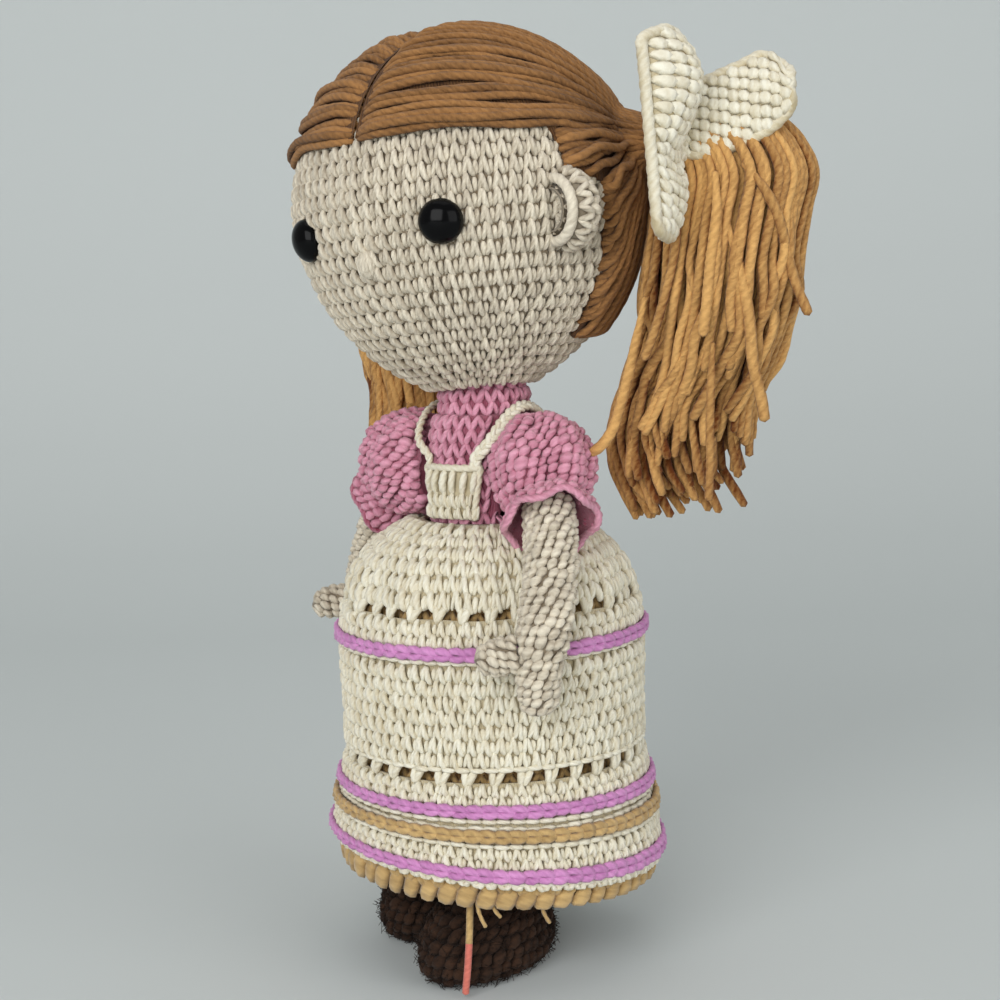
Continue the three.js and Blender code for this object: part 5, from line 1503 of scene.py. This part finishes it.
cloth = Fabric(100)
shares, ways = np.linspace(-1, 1, 14)[None], np.linspace(0, bib_form.length, 12)[:, None]
half = half_bib(ways)
cloth.slab(bib_form(shares * half, ways, -0.5), bib_form(shares * half, ways, -1.3))
bib = cloth.piece("bib_cloth", "torso", CREAM, "cream", "bib")
ribs = Fabric(101)
rounds(ribs, bib_form, 0, 9, width=3.4, height=4.4, stitch=TIGHT, keep=on_bib, lift=-0.3)
rounds(ribs, bib_form, 9, bib_form.length - 1.2, width=3.6, height=6, stitch=POST[:1],
       keep=on_bib, lift=0, drift=0)
bib_edge = [(-1, w) for w in np.linspace(0, 1, 9)] + [(s, 1) for s in np.linspace(-0.8, 0.8, 7)]
bib_edge += [(1, w) for w in np.linspace(1, 0, 9)]
rim = [bib_form(s * half_bib(w * bib_form.length), w * bib_form.length, -0.2) for s, w in bib_edge]
ribs.rods(line_through(rim, 90)[None], 1.2, 1.1, [0, -1, 0], plies=3, lay=3.2, ridge=0.15)
ribs = ribs.piece("bib_ribs", "torso", CREAM, "cream")

# %% Straps
STRAPS = [  # over the shoulder: aside, back and up, in shares of the chest and of the shoulder
    (0.78, -0.95, 0.5), (0.91, -0.6, 0.92), (0.95, -0.15, 1.12), (0.9, 0.45, 0.95),
    (0.74, 0.9, 0.55), (0.56, 1.02, 0.2),
]
STRAP, STRAP_TURN, STRAP_POINTS = 2.7, 8.5, 150
FRONT_REACH, BACK_REACH = 21.0, 20.3
STRAP_SIZES = {"left": (1.2, 1.05), "right": (0.8, 0.75)}  # swing of the strands, half width
bib_top = SKIRT_TOP + 0.3 + BIB_HEIGHT
strap_angle = (BIB_TOP - STRAP) / (2 * BIB_REACH)
sine, cosine = math.sin(strap_angle), math.cos(strap_angle)
for name, side in (("left", 1), ("right", -1)):
    ends = [np.array([side * FRONT_REACH * sine, -FRONT_REACH * cosine, bib_top + 0.3]),
            np.array([side * BACK_REACH * sine, BACK_REACH * cosine, SKIRT_TOP + 0.3])]
    places = [ends[0], ends[0] + [0, 0, STRAP]]
    places += [np.array([side * a * CHEST_RADIUS, f * CHEST_RADIUS,
                         bib_top + (SHOULDER - bib_top) * u]) for a, f, u in STRAPS]
    line = line_through([*places, ends[1] + [0, 0, STRAP], ends[1]], STRAP_POINTS)
    strap = Fabric(104 + side)
    along = unit(np.gradient(line, axis=0))
    out = unit(line - [0, 0, 165])
    over = unit(np.cross(along, out))
    way = np.linalg.norm(np.diff(line, axis=0), axis=1).sum() * np.linspace(0, 1, STRAP_POINTS)
    swing, half_width = STRAP_SIZES[name]
    plait = []
    for third in range(3):
        angle = 2 * np.pi * (way / STRAP_TURN + third / 3)
        plait.append(line + over * (swing * np.sin(angle))[:, None]
                     + np.cross(over, along) * (0.4 * np.sin(2 * angle))[:, None])
    strap.rods(np.array(plait), half_width, 0.85, out, plies=2, lay=3)
    strap.piece(f"{name}_strap_plait", "torso", CREAM, "cream", f"{name}_strap")

# %% [markdown]
# ## Legs and shoes
# The legs are stuffed tubes, nearly hidden by the skirt. The shoes are worked in a thick, hairy
# brown yarn, so their stitches are bigger and a haze of fibres stands off them.

# %% Legs
FEET = {"left": ((8, -11), (8, -19)), "right": ((-29, 14), (-29, 7))}  # ankle, middle of shoe
SHOE_LENGTH, SHOE_WIDTH, SHOE_HEIGHT = 57, 35.6, 27
LEG_SHAPE = [(0, 1), (0.04, 8.2), (0.13, 11.6), (0.3, 11.4), (1, 10)]
for name, side in (("left", 1), ("right", -1)):
    hip, ankle = HIP * [side, 1, 1], FEET[name][0]
    knee = [*(hip[:2] + np.array(ankle)) / 2, 66]
    form = Limb([hip + [0, 0, 11.4], hip + [0, 0, 6], hip, knee, [*ankle, SHOE_HEIGHT + 0.5]],
                LEG_SHAPE)
    leg = Fabric(110 + side)
    backing(leg, form, 0, form.length, columns=32, rows=30)
    rounds(leg, form, 1.5, form.length - 0.3, width=4.7, height=4.8, lift=-0.4)
    leg = leg.piece(f"{name}_leg_knit", f"{name}_foot", BEIGE, "beige", f"{name}_leg")

# %% Shoes
SHOE = np.array([  # shares of the height, half the length, half the width, and how far back
    (0, 0.45, 0.44, 0), (0.13, 0.49, 0.5, 0), (0.4, 0.5, 0.5, 0), (0.62, 0.45, 0.48, 0.02),
    (0.8, 0.36, 0.42, 0.06), (0.93, 0.26, 0.36, 0.11), (1, 0.19, 0.3, 0.14)])
SOLE = 1.2


def shoe_rule(place):
    """A shoe as a rule: an oval that shrinks and moves back towards the ankle."""
    def rule(turn, share):
        turn, share = np.broadcast_arrays(turn, share)
        length, width, back = (smooth_at(SHOE[:, [0, k]], share) for k in (1, 2, 3))
        under = np.clip(1 - share / 0.1, 0, 1) ** 2
        length, width = length * (1 - 0.08 * under), width * (1 - 0.08 * under)
        return np.stack([place[0] + SHOE_WIDTH * width * np.sin(turn),
                         place[1] + SHOE_LENGTH * (back - length * np.cos(turn)),
                         SOLE + (SHOE_HEIGHT - SOLE) * share], -1)

    return rule


def fuzz(fabric, form, count, length, thin=0.11):
    """Fine fibres that stand off a form."""
    random = fabric.random
    turn, way = random.uniform(-np.pi, np.pi, count), random.uniform(0, form.length, count)
    roots = form(turn, way, 0.5)
    turn = turn + random.normal(0, 0.12, count)
    tips = form(turn, way + random.normal(0, 1.4, count), 0.8 + length)
    bend = random.normal(0, 0.35, (count, 3))
    paths = np.stack([roots, (roots + tips) / 2 + bend, tips + 2 * bend], 1)
    fabric.rods(paths, thin, thin, [0.3, 0.5, 0.8], sides=3)


for name, side in (("left", 1), ("right", -1)):
    form = Shell(shoe_rule(FEET[name][1]), even=True)
    shoe = Fabric(114 + side)
    backing(shoe, form, 0, form.length, lift=-0.8, columns=64, rows=20)
    rounds(shoe, form, 0.3, form.length - 0.5, width=4.2, height=4.0, stitch=LUMP, lift=-1.1,
           plump=1.2, loose=2.5)
    turns = np.linspace(-np.pi, np.pi, 64, endpoint=False)
    for share, bulge in ((0.0, -0.8), (1.0, 0.5)):  # the sole, then the top under the leg
        ring = form(turns, form.length * share, -0.9)
        middle = ring.mean(axis=0) + [0, 0, bulge]
        cap = np.stack([ring * part + middle * (1 - part) for part in (1, 0.6, 0.25, 0.01)])
        shoe.sheet(cap[:, ::-1] if share == 0 else cap, back=False)
    sole_edge = form(turns, 0, -0.6)
    sole_middle = sole_edge.mean(axis=0)
    for size in (0.86, 0.59, 0.32):
        loop = sole_middle + (sole_edge - sole_middle) * [size, size, 1] - [0, 0, 0.3]
        shoe.rods(np.vstack([loop, loop[:1]])[None], 2.2, 1.1, [0, 0, 1], plies=3, lay=6)
    fuzz(shoe, form, count=1500, length=0.8)
    shoe = shoe.piece(f"{name}_shoe_knit", f"{name}_foot", BROWN, "brown", f"{name}_shoe")

# %% [markdown]
# ## Floor and light
# One pale sheet is the floor and curves up into the backdrop, as in a small photo tent. A broad
# soft lamp stands left of the camera, a weaker one fills the other side, and a small one above
# lights the hair. A pale room keeps the shadows soft.

# %% Floor and backdrop
STAGE = bpy.data.materials.new("pale_paper")
STAGE.use_nodes = True
paper = STAGE.node_tree.nodes["Principled BSDF"]
paper.inputs["Roughness"].default_value = 0.8
paper.inputs["Base Color"].default_value = colour(212, 218, 217)
sweep = [  # metres away from the camera and up
    (-1.6, 0.0), (0.55, 0.0), (0.75, 0.02), (0.92, 0.09), (1.05, 0.22), (1.12, 0.42), (1.15, 0.8),
    (1.16, 2.6),
]
mesh = bpy.data.meshes.new("floor")
away = -towards
points = [tuple(away * y + aside * x + [0, 0, z]) for y, z in sweep for x in (-2.2, 2.2)]
faces = [(2 * i, 2 * i + 1, 2 * i + 3, 2 * i + 2) for i in range(len(sweep) - 1)]
mesh.from_pydata(points, [], faces)
mesh.polygons.foreach_set("use_smooth", [True] * len(mesh.polygons))
mesh.materials.append(STAGE)
floor = bpy.data.objects.new("floor", mesh)
bpy.context.scene.collection.objects.link(floor)

# %% Lamps
LOOKED_AT = Vector((0, 0, 0.15))


def lamp(name, place, power, size):
    """A square soft lamp of some watts, its side in metres, that shines on the doll's middle."""
    data = bpy.data.lights.new(name, "AREA")
    data.energy, data.size = power, size
    made = bpy.data.objects.new(name, data)
    made.location = place
    made.rotation_euler = (Vector(place) - LOOKED_AT).to_track_quat("Z", "Y").to_euler()
    bpy.context.scene.collection.objects.link(made)


lamp("key", towards * 1.7 - aside * 0.75 + [0, 0, 0.85], 25, 1.5)
lamp("fill", towards * 1.3 + aside * 1.3 + [0, 0, 0.6], 11, 1.5)
lamp("top", np.array([0.0, 0.1, 1.6]), 2.2, 1.2)
world = bpy.data.worlds.new("room")
world.use_nodes = True
world.node_tree.nodes["Background"].inputs["Color"].default_value = (1, 1, 1, 1)
world.node_tree.nodes["Background"].inputs["Strength"].default_value = 0.32
bpy.context.scene.world = world
bpy.context.scene.view_settings.view_transform = "Standard"
print("lamps:", ", ".join(light.name for light in bpy.data.lights))
